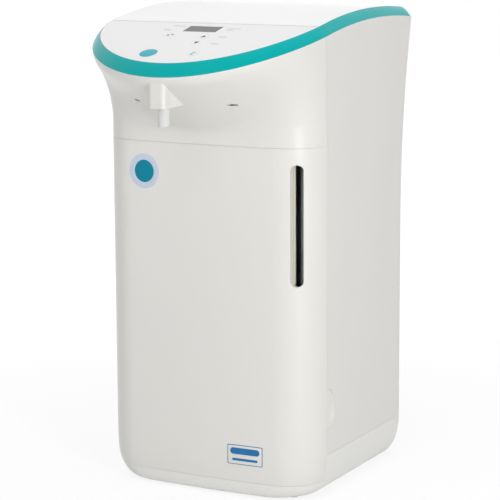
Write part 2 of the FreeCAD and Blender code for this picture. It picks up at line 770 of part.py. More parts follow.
def side_panel(sign):
    """A side panel: it carries a finger recess, cover catches and a rail for the rear panel."""
    shell = upper_outer.cut(upper_inner)
    panel = shell.cut(ahead_of_parting(half_seam)).cut(rear_room(half_seam))
    panel = panel.common(level_block(float(side_seam) + half_seam, float(tall)))
    panel = panel.common(under_arc(0.0))
    half_box = Part.makeBox(far, 2 * far, float(tall), Vector(0 if sign > 0 else -far, -far, 0))
    panel = panel.common(half_box)
    radii = [float(size) for size in (s.recess_depth, s.recess_length, s.recess_height / 2)]
    centre = Vector(sign * float(side), float(parting), float(s.recess_centre))
    scoop = scoop_shape(radii, centre)
    backing = scoop_shape([radius + wall for radius in radii], centre)
    inside = float(side) - wall / 2
    backing = backing.common(Part.makeBox(2 * inside, far, far, Vector(-inside, centre.y, 0)))
    backing = backing.cut(ahead_of_parting(half_seam))
    panel = panel.fuse(backing).cut(scoop)
    rail_y = float(back) - wall - float(s.rail_gap) - float(s.rail_thickness)
    rail_low = float(side_seam) + half_seam
    outer = float(s.rear_panel_width) / 2 + half_seam + wall - seam
    width = float(s.rail_width)
    x = outer - width if sign > 0 else -outer
    rail = Part.makeBox(width, float(s.rail_thickness), float(s.side_flare_height) - rail_low,
                        Vector(x, rail_y, rail_low))
    web_width = outer - float(s.rear_panel_width) / 2 - half_seam
    web_x = outer - web_width if sign > 0 else -outer
    web = Part.makeBox(web_width, wall / 2 + float(s.rail_gap) + float(s.rail_thickness),
                       float(s.side_flare_height) - rail_low, Vector(web_x, rail_y, rail_low))
    return panel.fuse(rail.fuse(web))


def scoop_shape(radii, centre):
    """An ellipsoid by its half sizes along X, Y and Z."""
    ball = Part.makeSphere(1)
    stretch = FreeCAD.Matrix()
    stretch.A11, stretch.A22, stretch.A33 = radii
    egg = ball.transformGeometry(stretch)
    egg.translate(centre)
    return egg


def rear_panel():
    """The flat back, with louvres and the holes for what passes through it."""
    shell = upper_outer.cut(upper_inner)
    panel = shell.common(rear_room(-half_seam)).common(under_arc(0.0))
    panel = panel.common(level_block(float(side_seam) + half_seam, float(tall)))
    depth = float(s.overrun)
    y = float(back) - depth / 2
    width, height = float(s.louvre_width), float(s.louvre_height)
    tools = []
    for number in range(int(float(s.louvre_count))):
        z = float(s.louvre_low) + number * float(s.louvre_pitch)
        tools.append(Part.makeBox(width, depth, height, Vector(-width / 2, y, z)))
    for centre_z, size in ((s.inlet_z, (s.inlet_width, s.inlet_height)),
                           (s.switch_z, (s.frame_width, s.frame_height))):
        opening = [float(length) + 2 * float(s.rail_gap) for length in size]
        corner = Vector(float(s.inlet_x) - opening[0] / 2, y, float(centre_z) - opening[1] / 2)
        tools.append(Part.makeBox(opening[0], depth, opening[1], corner))
    tools.append(Part.makeCylinder(float(s.drain_radius + s.rail_gap), depth,
                                   Vector(float(s.drain_x), y, float(s.drain_z)), Vector(0, 1, 0)))
    for x, z in screw_places():
        tools.append(Part.makeCylinder(float(s.screw_radius + s.rail_gap), depth,
                                       Vector(x, y, z), Vector(0, 1, 0)))
    return panel.cut(tools)


def screw_places():
    """Where screws hold the rear panel to the side panels' rails."""
    x = float(s.rear_panel_width) / 2 - float(s.screw_inset)
    heights = [float(s.screw_low) + number * float(s.screw_pitch)
               for number in range(int(float(s.screw_count)))]
    return [(sign * x, z) for sign in (-1, 1) for z in heights]


def crown_wire(inset, rise):
    """A closed wire round the crown at an inset, at a height over the crown's arc."""
    edges = []
    for edge in crown_plan(inset):
        count = SPOKES if edge.Curve.TypeId == "Part::GeomCircle" else ROUND_STEPS
        points = []
        for number in range(count + 1):
            share = number / count
            parameter = edge.FirstParameter
            parameter += (edge.LastParameter - edge.FirstParameter) * share
            spot = edge.valueAt(parameter)
            spot.z = float(crown_height(spot.y, rise))
            points.append(spot)
        curve = Part.BSplineCurve()
        curve.interpolate(points)
        edges.append(curve.toShape())
    return Part.Wire(Part.__sortEdges__(edges))


def crown_ring():
    """The coloured ring: a bulged bevel swept round the crown, over the housing's top edge."""
    inset, rise = float(s.band_inset), float(s.band_rise)
    bulge = float(s.band_bulge)
    slant = math.hypot(inset, rise)
    corners = [(0.0, 0.0)]
    for share in (0.25, 0.5, 0.75):
        swell = 4 * share * (1 - share) * bulge / slant
        corners.append((inset * share - rise * swell, rise * share + inset * swell))
    corners += [(inset, rise), (inset, 0.0)]
    wires = [crown_wire(*corner) for corner in corners]
    faces = []
    for wire, following in zip(wires, wires[1:] + wires[:1]):
        faces += Part.makeLoft([wire, following], False, True).Faces
    shell = Part.makeShell(faces)
    shell.sewShape()
    ring = Part.makeSolid(shell)
    if ring.Volume < 0:
        ring.reverse()
    return ring


def control_panel():
    """The sloping panel in the nose, with a skirt, key holes and the display opening."""
    inset = float(s.band_inset + s.crown_gap)
    rise = float(s.band_rise)
    plate = crown_slab(inset, rise - wall, rise)
    skirt = crown_slab(inset, rise - float(s.skirt_depth), rise - wall)
    skirt = skirt.cut(crown_prism(inset + float(s.skirt_wall)))
    panel = plate.fuse(skirt).cut(behind(float(lid_seam) - half_seam))
    tools = []
    for x, y in key_places().values():
        hole = Part.makeCylinder(float(s.key_radius + s.key_gap), float(s.overrun))
        hole.Placement = on_crown(x, y, s.overrun / 2)
        tools.append(hole)
    size = [float(length) + 2 * float(s.display_gap) for length in (s.display_width,
                                                                    s.display_length)]
    window = Part.makeBox(size[0], size[1], float(s.overrun),
                          Vector(-size[0] / 2, -size[1] / 2, 0))
    window.Placement = on_crown(0, nose + s.display_setback, s.overrun / 2)
    return panel.cut(tools + [window])


def key_places():
    """Key centres in plan: two arrow keys, a menu key and the dispense key."""
    return {"menu_key": (s.menu_x, nose + s.menu_setback),
            "up_key": (s.up_x, nose + s.up_setback),
            "down_key": (s.down_x, nose + s.down_setback),
            "dispense_key": (s.dispense_x, nose + s.dispense_setback)}


def dome_block(inset, drop):
    """Everything under the lid's top surface, which swells from the seam to the rear."""
    rows = []
    y_start, y_end = float(lid_seam) - float(s.overrun), float(crown_back)
    half = float(s.crown_rear_width) / 2
    steps = 2 * ROUND_STEPS
    for along in range(steps + 1):
        y = y_start + (y_end - y_start) * along / steps
        share = min(max((y - float(lid_seam)) / (y_end - float(lid_seam)), 0), 1)
        swell = float(s.lid_dome) * math.sin(math.pi * share) ** DOME_POWER
        row = []
        for across in range(steps + 1):
            x = half * (2 * across / steps - 1)
            height = float(crown_height(y, s.band_rise)) + swell * (1 - (x / half) ** 2)
            row.append(Vector(x, y, height - drop))
        rows.append(row)
    surface = Part.BSplineSurface()
    surface.interpolate(rows)
    block = surface.toShape().extrude(Vector(0, 0, -float(s.overrun) * 2))
    return block.common(crown_prism(inset, float(s.lid_corner_radius)))


def top_lid():
    """The lid: a domed shell with a skirt, knuckles at the rear and room for the deck's ears."""
    inset = float(s.band_inset + s.crown_gap)
    rise = float(s.band_rise)
    body = dome_block(inset, 0.0)
    hollow = dome_block(inset + float(s.skirt_wall), wall)
    hollow = hollow.cut(behind(rear_edge() - float(s.skirt_wall)))
    lid = body.cut(hollow).cut(under_arc(rise - float(s.skirt_depth)))
    seam_y = float(lid_seam) + half_seam
    lid = lid.common(behind(seam_y)).cut(behind(rear_edge()))
    lip_room = crown_prism(0.0).cut(behind(seam_y + float(s.skirt_wall)))
    lid = lid.cut(lip_room.common(under_arc(rise - wall)))
    x_width = float(s.knuckle_width)
    axis_y, axis_z = (float(value) for value in hinge_axis())
    radius = float(s.knuckle_radius)
    for sign in (-1, 1):
        x = sign * float(s.knuckle_x) - x_width / 2
        start = Vector(x, axis_y, axis_z)
        knuckle = Part.makeCylinder(radius, x_width, start, Vector(1, 0, 0))
        web = Part.makeBox(x_width, 2 * radius, radius + float(s.hinge_drop),
                           Vector(x, axis_y - radius, axis_z))
        web = web.common(dome_block(inset, 0.0)).cut(behind(rear_edge()))
        lid = lid.fuse([knuckle, web])
        bore = Part.makeCylinder(float(s.pin_radius + s.pin_gap), x_width + 2 * seam,
                                 Vector(x - seam, axis_y, axis_z), Vector(1, 0, 0))
        lid = lid.cut(bore)
        reach = radius + 2 * float(s.ear_gap)
        width = float(s.ear_width) + 2 * float(s.ear_gap)
        for edge in (x - width, x + x_width):
            room = Part.makeCylinder(reach, width, Vector(edge, axis_y, axis_z), Vector(1, 0, 0))
            path = Part.makeBox(width, float(s.overrun), float(s.overrun),
                                Vector(edge, axis_y - reach, axis_z - float(s.overrun) / 2))
            lid = lid.cut([room, path])
    return lid


def rear_edge():
    """Where the lid ends at the rear, ahead of the ring's inner wall."""
    return float(crown_back) - float(s.band_inset) - float(s.hinge_relief)


def hinge_axis():
    """The lid's hinge line in side view."""
    y = crown_back - s.hinge_setback
    return y, crown_height(y, s.band_rise) - s.hinge_drop


def top_deck():
    """The deck under the lid: it closes the housing round the tank's neck and holds the hinge."""
    low = float(s.deck_height)
    high = low + float(s.deck_thickness)
    deck = upper_block(wall + float(s.deck_gap)).common(level_block(low, high))
    deck = deck.common(behind(float(parting) + wall))
    neck_x, neck_y = (float(value) for value in neck_centre())
    hole = Part.makeCylinder(float(s.neck_radius + s.neck_gap), float(s.overrun),
                             Vector(neck_x, neck_y, low - float(s.overrun) / 2))
    deck = deck.cut(hole)
    axis_y, axis_z = (float(value) for value in hinge_axis())
    radius = float(s.knuckle_radius)
    ears = []
    for sign in (-1, 1):
        middle = sign * float(s.knuckle_x)
        gap = float(s.knuckle_width) / 2 + float(s.ear_gap)
        for x in (middle - gap - float(s.ear_width), middle + gap):
            post = Part.makeBox(float(s.ear_width), 2 * radius, axis_z - high,
                                Vector(x, axis_y - radius, high))
            eye = Part.makeCylinder(radius, float(s.ear_width), Vector(x, axis_y, axis_z),
                                    Vector(1, 0, 0))
            ears += [post, eye]
    deck = deck.fuse(ears)
    for sign in (-1, 1):
        bore = Part.makeCylinder(float(s.pin_radius), pin_length(),
                                 Vector(sign * float(s.knuckle_x) - pin_length() / 2,
                                        axis_y, axis_z), Vector(1, 0, 0))
        deck = deck.cut(bore)
    return deck


def pin_length():
    """A hinge pin runs through both ears and the knuckle between them."""
    return float(s.knuckle_width) + 2 * (float(s.ear_gap) + float(s.ear_width))


def neck_centre():
    """The middle of the tank's neck in plan."""
    return s.shelf_x + s.shelf_width / 2, tank_front() + s.tank_depth / 2


def tank_front():
    """The tank's front face, behind the bulkhead."""
    return s.bulkhead_y + s.sheet + s.tank_gap


piece("base_tray", made(base_tray()))
piece("front_cover", made(front_cover()))
piece("head_cover", made(head_cover()))
piece("left_panel", made(side_panel(-1)))
piece("right_panel", made(side_panel(1)))
piece("rear_panel", made(rear_panel()))
piece("crown_ring", made(crown_ring()))
piece("control_panel", made(control_panel()))
piece("top_lid", made(top_lid()))
piece("top_deck", made(top_deck()))

# Rubber feet under the tray
foot_outline = [(0, 0), (s.foot_radius - s.foot_recess, 0), (s.foot_radius, s.foot_recess),
                (s.foot_radius, s.foot_height + s.foot_recess), (0, s.foot_height + s.foot_recess)]
feet = []
for sign in (-1, 1):
    for y in (front + s.foot_inset, back - s.foot_inset):
        feet.append(turned(foot_outline, ((side - s.foot_inset) * sign, y, 0)))
piece("rubber_feet", group(feet))

# Hinge pins of the lid
hinge_y, hinge_z = hinge_axis()
pin_run = s.knuckle_width + (s.ear_gap + s.ear_width) * 2
pins = [cylinder(s.pin_radius, pin_run, (s.knuckle_x * sign - pin_run / 2, hinge_y, hinge_z), "x")
        for sign in (-1, 1)]
piece("hinge_pins", group(pins))

# Catches that hold the cover's pegs: two leaves and a back on each side panel
catches = []
for sign in (-1, 1):
    inner_wall = side - s.wall - s.catch_seat
    width = s.catch_width
    x = inner_wall - width if sign > 0 else -inner_wall
    for height in (s.peg_low, s.peg_high):
        z_low = height - s.catch_gap - s.catch_leaf
        z_size = s.peg_height + (s.catch_gap + s.catch_leaf) * 2
        y = parting + s.seam
        block = box((width, s.catch_length, z_size), (x, y, z_low))
        room = box((width + s.overrun * 2, s.catch_length - s.catch_leaf,
                    s.peg_height + s.catch_gap * 2),
                   (x - s.overrun, y, height - s.catch_gap))
        catches.append(cut(block, room))
piece("cover_catches", group(catches))

# Keys, with the switches and the display on one board under the panel
for name, (x, y) in key_places().items():
    flange_height = float(s.key_flange_height)
    cap_height = wall + float(s.key_seat + s.key_proud) + flange_height
    cap = Part.makeCylinder(float(s.key_radius), cap_height)
    flange = Part.makeCylinder(float(s.key_radius + s.key_flange), flange_height)
    key = made(flange.fuse(cap).removeSplitter())
    key.Placement = on_crown(x, y, wall + float(s.key_seat) + flange_height)
    piece(name, key)


def board_frame():
    """Where the display board lies: square to the panel, some way below it."""
    return on_crown(0, nose + s.board_setback, s.board_depth)


def display_board():
    """The circuit board with its key switches and the display module."""
    width, length, thick = float(s.board_width), float(s.board_length), float(s.board_thickness)
    frame = board_frame()
    board = Part.makeBox(width, length, thick, Vector(-width / 2, -length / 2, -thick))
    board.Placement = frame
    normal = frame.Rotation.multVec(Vector(0, 0, 1))
    parts = [board]
    top_depth = wall + float(s.key_seat + s.key_flange_height + s.key_travel + s.key_gap)
    switch = float(s.switch_width)
    stands = [(x, y, top_depth, (switch, switch)) for x, y in key_places().values()]
    stands.append((0, nose + s.display_setback, float(s.display_thickness + s.display_gap),
                   (float(s.module_width), float(s.module_length))))
    post_x = width / 2 - float(s.board_post + s.board_post_edge)
    post_y = length * BOARD_POST_SHARE
    middle = float(nose + s.board_setback)
    stands += [(sign * post_x, middle + way * post_y, wall, None)
               for sign in (-1, 1) for way in (-1, 1)]
    for x, y, depth, size in stands:
        spot = on_crown(x, y, depth)
        down = spot.Rotation.multVec(Vector(0, 0, -1))
        reach = (frame.Base - spot.Base).dot(normal) / down.dot(normal) + thick / 2
        if size:
            stand = Part.makeBox(*size, reach, Vector(-size[0] / 2, -size[1] / 2, -reach))
        else:
            stand = Part.makeCylinder(float(s.board_post), reach, Vector(0, 0, -reach))
        stand.Placement = spot
        parts.append(stand)
    return parts[0].fuse(parts[1:])


piece("display_board", made(display_board()))
lens = Part.makeBox(float(s.display_width), float(s.display_length), float(s.display_thickness),
                    Vector(-float(s.display_width) / 2, -float(s.display_length) / 2, 0))
window = made(lens)
window.Placement = on_crown(0, nose + s.display_setback, s.display_thickness)
piece("display_window", window)

# Inner frame: a bulkhead from the tray to the deck, and a shelf for the tank
low = floor
high = s.deck_height
profile = [(0, low), (s.flange, low), (s.flange, low + s.sheet), (s.sheet, low + s.sheet),
           (s.sheet, high - s.sheet), (s.flange, high - s.sheet), (s.flange, high), (0, high)]
plate = folded(profile, s.bulkhead_width, (0, s.bulkhead_y, 0))
tank_y = tank_front()


def hose_hole(x, z):
    """A hole through the bulkhead for a hose."""
    return cylinder(s.hose_hole, s.overrun, (x, s.bulkhead_y - s.overrun / 2, z), "y")


seat_top = floor + s.seat_floor
manifold_low = seat_top + s.cartridge_height
manifold_middle = manifold_low + s.manifold_height / 2
holes = [hose_hole(s.slot_x, z) for z in (s.level_low, s.level_high)]
holes += [hose_hole(s.hose_column, manifold_middle), hose_hole(s.uv_x, s.uv_port_height),
          hose_hole(s.uv_x, s.hose_top)]


def low_corner(sign, y):
    """The room of the tray's rounded lower edge at one side."""
    edge = s.bulkhead_width / 2 - s.notch_corner_width
    x = edge if sign > 0 else -edge - s.overrun
    return box((s.overrun, s.overrun, s.notch_corner_height), (x, y - s.overrun / 2, floor))


piece("bulkhead", cut(plate, *holes, low_corner(-1, s.bulkhead_y), low_corner(1, s.bulkhead_y)))

shelf_top = s.shelf_height + s.shelf_thickness
shelf_y = s.bulkhead_y + s.sheet + s.seam
leg = s.shelf_depth - s.shelf_thickness
profile = [(0, s.shelf_height), (leg, s.shelf_height), (leg, floor),
           (s.shelf_depth, floor), (s.shelf_depth, shelf_top), (0, shelf_top)]
shelf = folded(profile, s.shelf_width, (s.shelf_x + s.shelf_width / 2, shelf_y, 0))
pump_x = s.motor_x - s.pump_length / 2
shelf_holes = [cylinder(s.hose_hole, s.overrun, (pump_x, s.pump_y, s.shelf_height - s.overrun / 2)),
               cylinder(s.hose_hole, s.overrun, (s.drain_x, s.drain_y, s.shelf_height - s.overrun / 2)),
               cylinder(s.drain_nut + s.seam, s.overrun,
                        (s.drain_x, shelf_y + s.shelf_depth - s.overrun / 2, s.drain_z), "y"),
               low_corner(1, shelf_y + s.shelf_depth)]
piece("tank_shelf", cut(shelf, *shelf_holes))


def rounded_box(size, at, radius):
    """A block with all its edges rounded."""
    block = box(size, at)
    doc.recompute()
    soft = doc.addObject("Part::Fillet", "soft")
    soft.Base = block
    soft.Edges = [(number, float(radius), float(radius)) for number in range(1, 13)]
    return soft


# Feed tank: a blown shell with a wide neck
neck_x, neck_y = neck_centre()
tank_top = shelf_top + s.tank_height
skin = s.tank_wall
outer_tank = rounded_box((s.shelf_width, s.tank_depth, s.tank_height),
                         (s.shelf_x, tank_y, shelf_top), s.tank_round)
inner_tank = rounded_box((s.shelf_width - skin * 2, s.tank_depth - skin * 2,
                          s.tank_height - skin * 2),
                         (s.shelf_x + skin, tank_y + skin, shelf_top + skin), s.tank_round - skin)
neck_top = tank_top + s.neck_height
neck = cylinder(s.neck_radius, s.neck_height + skin, (neck_x, neck_y, tank_top - skin))
mouth = cylinder(s.neck_radius - s.neck_wall, s.neck_height + s.overrun,
                 (neck_x, neck_y, tank_top - s.overrun / 2))
piece("feed_tank", cut(fuse(outer_tank, neck), inner_tank, mouth))
gasket = cut(cylinder(s.neck_radius, s.gasket_height, (neck_x, neck_y, neck_top)),
             cylinder(s.neck_radius - s.neck_wall, s.gasket_height, (neck_x, neck_y, neck_top)))
piece("tank_gasket", gasket)

# Tank cap, with finger flutes round its rim
bore = s.neck_radius + s.cap_gap
cap_radius = bore + s.cap_wall + s.flute_radius / 2
cap_under = neck_top + s.gasket_height + s.cap_lift
cap_top = cap_under + s.cap_wall
cap_low = cap_top - s.cap_height
cap_outline = [(0, s.cap_height - s.cap_wall), (bore, s.cap_height - s.cap_wall), (bore, 0),
               (cap_radius, 0), (cap_radius, s.cap_height - s.cap_wall / 2),
               (cap_radius - s.cap_wall / 2, s.cap_height), (0, s.cap_height)]
cap = turned(cap_outline, (neck_x, neck_y, cap_low))
flutes = []
for number in range(int(float(s.flute_count))):
    turn = 2 * math.pi * number / float(s.flute_count)
    reach = cap_radius + s.flute_radius / 2
    flutes.append(cylinder(s.flute_radius, s.cap_height + s.seam * 2,
                           (neck_x + reach * math.cos(turn), neck_y + reach * math.sin(turn),
                            cap_low - s.seam)))
piece("tank_cap", cut(cap, *flutes))

# Float and its stem, standing on the tank's floor
tank_floor = shelf_top + skin
stem_x = s.stem_x
stem_y = s.stem_back + tank_y - s.bulkhead_y
stop = s.stop_height
stem_outline = [(0, 0), (s.stop_radius, 0), (s.stop_radius, stop), (s.stem_radius, stop),
                (s.stem_radius, s.stem_height - stop), (s.stop_radius, s.stem_height - stop),
                (s.stop_radius, s.stem_height), (0, s.stem_height)]
piece("float_stem", turned(stem_outline, (stem_x, stem_y, tank_floor)))
float_bore = s.stem_radius + s.float_gap
float_outline = [(float_bore, 0), (s.float_radius - stop / 2, 0), (s.float_radius, stop / 2),
                 (s.float_radius, s.float_height - stop / 2),
                 (s.float_radius - stop / 2, s.float_height), (float_bore, s.float_height)]
piece("tank_float", turned(float_outline, (stem_x, stem_y, tank_floor + stop + s.float_seat)))

# Level tube and its two elbow fittings into the tank
half_elbow = s.elbow_size / 2
tube_low = s.level_low + half_elbow
tube_run = s.level_high - s.level_low - s.elbow_size
level_outline = [(s.level_radius - s.level_wall, 0), (s.level_radius, 0),
                 (s.level_radius, tube_run), (s.level_radius - s.level_wall, tube_run)]
piece("level_tube", turned(level_outline, (s.slot_x, s.level_y, tube_low)))
elbows = []
for z in (s.level_low, s.level_high):
    knob = box((s.elbow_size, s.elbow_size, s.elbow_size),
               (s.slot_x - half_elbow, s.level_y - half_elbow + s.seam, z - half_elbow))
    pipe = cylinder(s.hose_radius, tank_y - s.level_y, (s.slot_x, s.level_y, z), "y")
    elbows.append(fuse(knob, pipe))
piece("level_fittings", group(elbows))

# Cartridges, standing in seats on the tray and held by spring clips
radius = s.cartridge_radius
step = s.cap_step
tall_part = s.cartridge_height - s.shoulder_height - s.spout_height
cartridge_outline = [
    (0, 0), (radius - step, 0), (radius, step), (radius, s.cap_band),
    (radius - step, s.cap_band + step), (radius - step, tall_part - s.cap_band - step),
    (radius, tall_part - s.cap_band), (radius, tall_part),
    (s.spout_radius + step, tall_part + s.shoulder_height),
    (s.spout_radius, s.cartridge_height), (0, s.cartridge_height)]
for name, x in (("pretreatment_cartridge", s.cartridge_left),
                ("polishing_cartridge", s.cartridge_right)):
    piece(name, turned(cartridge_outline, (x, s.cartridge_y, seat_top)))
cup = radius + s.seat_gap
seat_outline = [(0, 0), (cup + s.seat_wall, 0), (cup + s.seat_wall, s.seat_depth),
                (cup, s.seat_depth), (cup, s.seat_floor), (0, s.seat_floor)]
piece("cartridge_seats", group([turned(seat_outline, (x, s.cartridge_y, floor))
                                for x in (s.cartridge_left, s.cartridge_right)]))


def spring_clip(x, y, z, inner, height, mouth):
    """A spring clip round a cylinder, open to the front, with its foot on the bulkhead."""
    outer = inner + s.clip_wall
    hoop = cylinder(outer, height, (x, y, z))
    foot_width = inner
    foot = box((foot_width, s.bulkhead_y - y, height), (x - foot_width / 2, y, z))
    room = cylinder(inner, height + s.seam * 2, (x, y, z - s.seam))
    gap = box((mouth, s.overrun * 2, height + s.seam * 2),
              (x - mouth / 2, y - s.overrun * 2, z - s.seam))
    return cut(fuse(hoop, foot), room, gap)


clips = [spring_clip(x, s.cartridge_y, z, radius - step + s.clip_gap, s.clip_height, s.clip_mouth)
         for x in (s.cartridge_left, s.cartridge_right) for z in (s.clip_low, s.clip_high)]
piece("cartridge_clips", group(clips))

# Manifold over the cartridges, fixed to the bulkhead
span = s.cartridge_right - s.cartridge_left + s.manifold_margin * 2
manifold_front = s.cartridge_y - s.manifold_depth / 2
block = box((span, s.bulkhead_y - manifold_front, s.manifold_height),
            (s.cartridge_left - s.manifold_margin, manifold_front, manifold_low))
heads = [cylinder(s.spout_radius + s.cap_step * 2, s.manifold_height / 2,
                  (x, s.cartridge_y, manifold_low + s.manifold_height * MANIFOLD_HEAD_SHARE))
         for x in (s.cartridge_left, s.cartridge_right)]
piece("manifold", fuse(block, *heads))

# Booster pump and motor on a cradle
barrel = cylinder(s.motor_radius, s.motor_length, (s.motor_x, s.pump_y, s.pump_z), "x")
end_bell = cylinder(s.motor_radius - s.fin_radius * 2, s.fin_radius * 2,
                    (s.motor_x + s.motor_length, s.pump_y, s.pump_z), "x")
piece("pump_motor", fuse(barrel, end_bell))
pump_low = s.motor_x - s.pump_length
volute = cylinder(s.pump_radius, s.pump_length, (pump_low, s.pump_y, s.pump_z), "x")
inlet = cylinder(s.pump_port, s.pump_radius + s.port_length, (pump_x, s.pump_y, s.pump_z))
outlet = cylinder(s.pump_port, s.pump_radius + s.port_length,
                  (pump_x, s.pump_y - s.pump_radius - s.port_length, s.pump_z), "y")
piece("pump_head", fuse(volute, inlet, outlet))
saddle = box((s.motor_length - s.fin_radius * 4, s.cradle_width, s.pump_z - floor - s.cradle_rise),
             (s.motor_x + s.fin_radius * 2, s.pump_y - s.cradle_width / 2, floor))
groove = cylinder(s.motor_radius + s.cradle_gap, s.motor_length, (s.motor_x, s.pump_y, s.pump_z), "x")
piece("pump_cradle", cut(saddle, groove))

# Ultraviolet chamber with two clamps to the bulkhead
uv_top = s.uv_low + s.uv_length
cap_r = s.uv_radius + s.uv_cap_step
uv_outline = [(0, 0), (cap_r, 0), (cap_r, s.uv_cap), (s.uv_radius, s.uv_cap),
              (s.uv_radius, s.uv_length - s.uv_cap), (cap_r, s.uv_length - s.uv_cap),
              (cap_r, s.uv_length), (0, s.uv_length)]
chamber = turned(uv_outline, (s.uv_x, s.uv_y, s.uv_low))
port = cylinder(s.uv_port_radius, s.uv_radius + s.port_length,
                (s.uv_x, s.uv_y - s.uv_radius - s.port_length, s.uv_port_height), "y")
piece("uv_chamber", fuse(chamber, port))
clamps = []
for z in (s.clamp_low, s.clamp_high):
    hoop = cylinder(s.uv_radius + s.clip_gap + s.clamp_wall, s.clamp_height, (s.uv_x, s.uv_y, z))
    foot_y = s.bulkhead_y + s.sheet
    foot = box((s.uv_radius, s.uv_y - foot_y, s.clamp_height), (s.uv_x - s.uv_radius / 2, foot_y, z))
    room = cylinder(s.uv_radius + s.clip_gap, s.clamp_height + s.seam * 2,
                    (s.uv_x, s.uv_y, z - s.seam))
    clamps.append(cut(fuse(hoop, foot), room))
piece("uv_clamps", group(clamps))

# Final filter capsule and its clip
filter_top = s.filter_low + s.filter_length
port_r = s.filter_port
filter_outline = [
    (0, 0), (port_r, 0), (port_r, s.port_length), (s.filter_radius - s.cap_step, s.filter_cone),
    (s.filter_radius, s.filter_cone + s.cap_step),
    (s.filter_radius, s.filter_length - s.filter_cone - s.cap_step),
    (s.filter_radius - s.cap_step, s.filter_length - s.filter_cone),
    (port_r, s.filter_length - s.port_length), (port_r, s.filter_length), (0, s.filter_length)]
piece("final_filter", turned(filter_outline, (s.filter_x, s.filter_y, s.filter_low)))
piece("filter_clip", spring_clip(s.filter_x, s.filter_y, s.filter_clip_height,
                                 s.filter_radius + s.clip_gap, s.clip_height, s.clip_mouth / 2))

# Resistivity cell on the line to the valve
cell_outline = [(0, 0), (s.hose_radius + s.cap_step, 0), (s.cell_radius, s.port_length),
                (s.cell_radius, s.cell_length - s.port_length),
                (s.hose_radius + s.cap_step, s.cell_length), (0, s.cell_length)]
piece("resistivity_cell", turned(cell_outline, (s.filter_x, s.cell_y, s.cell_low)))

# Shelf in the head, dispense valve and its coil
shelf_run = s.bulkhead_y - s.head_shelf_front
profile = [(0, s.head_shelf_height), (shelf_run, s.head_shelf_height),
           (shelf_run, s.head_shelf_height + s.flange),
           (shelf_run - s.sheet, s.head_shelf_height + s.flange),
           (shelf_run - s.sheet, s.head_shelf_height + s.sheet), (0, s.head_shelf_height + s.sheet)]
tray = folded(profile, s.head_shelf_width, (0, s.head_shelf_front, 0))
tray_holes = [box((s.overrun, s.head_shelf_step + s.overrun, s.overrun),
                  (s.head_shelf_nose / 2 if sign > 0 else -s.head_shelf_nose / 2 - s.overrun,
                   s.head_shelf_front - s.overrun, s.head_shelf_height - s.seam))
              for sign in (-1, 1)]
hole_foot = s.head_shelf_height - s.overrun / 2
tray_holes += [cylinder(s.filter_radius + s.clip_wall * 2, s.overrun,
                        (s.filter_x, s.filter_y, hole_foot)),
               cylinder(s.hose_hole, s.overrun, (s.filter_x, s.cell_y, hole_foot)),
               box((s.overrun, s.bulkhead_y - s.filter_y + s.seam, s.overrun),
                   (s.filter_x, s.filter_y, hole_foot))]
piece("head_shelf", cut(tray, *tray_holes))
valve_low = s.head_shelf_height + s.sheet
piece("dispense_valve", box((s.valve_width, s.valve_length, s.valve_height),
                            (-s.valve_width / 2, s.valve_front, valve_low)))
coil_y = s.valve_front + s.valve_length / 2
coil_outline = [(0, 0), (s.coil_radius, 0), (s.coil_radius, s.coil_height - s.cap_step),
                (s.coil_radius - s.cap_step, s.coil_height), (0, s.coil_height)]
piece("valve_coil", turned(coil_outline, (0, coil_y, valve_low + s.valve_height)))

# Nozzle, hanging by its flange on the shroud's floor
shroud_floor = s.shroud_bottom + s.shroud_wall
drop = s.nozzle_drop + s.shroud_wall
flange_r = s.nozzle_flange_radius
nozzle_high = drop + s.nozzle_flange_height + s.nozzle_spigot_height
nozzle_outline = [
    (s.nozzle_bore, 0), (s.nozzle_radius - s.nozzle_taper, 0), (s.nozzle_radius, drop),
    (flange_r, drop), (flange_r, drop + s.nozzle_flange_height),
    (s.nozzle_spigot_radius, drop + s.nozzle_flange_height), (s.nozzle_spigot_radius, nozzle_high),
    (s.nozzle_bore - s.nozzle_taper, nozzle_high)]
nozzle_foot = shroud_floor - drop
piece("nozzle", turned(nozzle_outline, (0, nozzle_y, nozzle_foot)))


def hose(name, route):
    """A hose along straight runs joined by tangent arcs."""
    points = [Vector(*[float(value) for value in point]) for point in route]
    edges = []
    start = points[0]
    for before, corner, after in zip(points, points[1:], points[2:]):
        back_way = (before - corner).normalize()
        on_way = (after - corner).normalize()
        half_turn = back_way.getAngle(on_way) / 2
        before_share = HOSE_END_SHARE if before is points[0] else HOSE_MIDDLE_SHARE
        after_share = HOSE_END_SHARE if after is points[-1] else HOSE_MIDDLE_SHARE
        room = min((before - corner).Length * before_share, (after - corner).Length * after_share)
        reach = min(float(s.bend_radius) / math.tan(half_turn), room)
        bisector = (back_way + on_way).normalize()
        radius_here = reach * math.tan(half_turn)
        enter, leave = corner + back_way * reach, corner + on_way * reach
        centre = corner + bisector * (radius_here / math.sin(half_turn))
        middle = centre - bisector * radius_here
        edges += [line(start, enter), arc(enter, middle, leave)]
        start = leave
    edges.append(line(start, points[-1]))
    path = Part.Wire(edges)
    way = (points[1] - points[0]).normalize()
    rings = [Part.Wire(Part.makeCircle(float(size), points[0], way))
             for size in (s.hose_radius, s.hose_bore)]
    outer, inner = (path.makePipeShell([ring], True, False) for ring in rings)
    return piece(name, made(outer.cut(inner)))


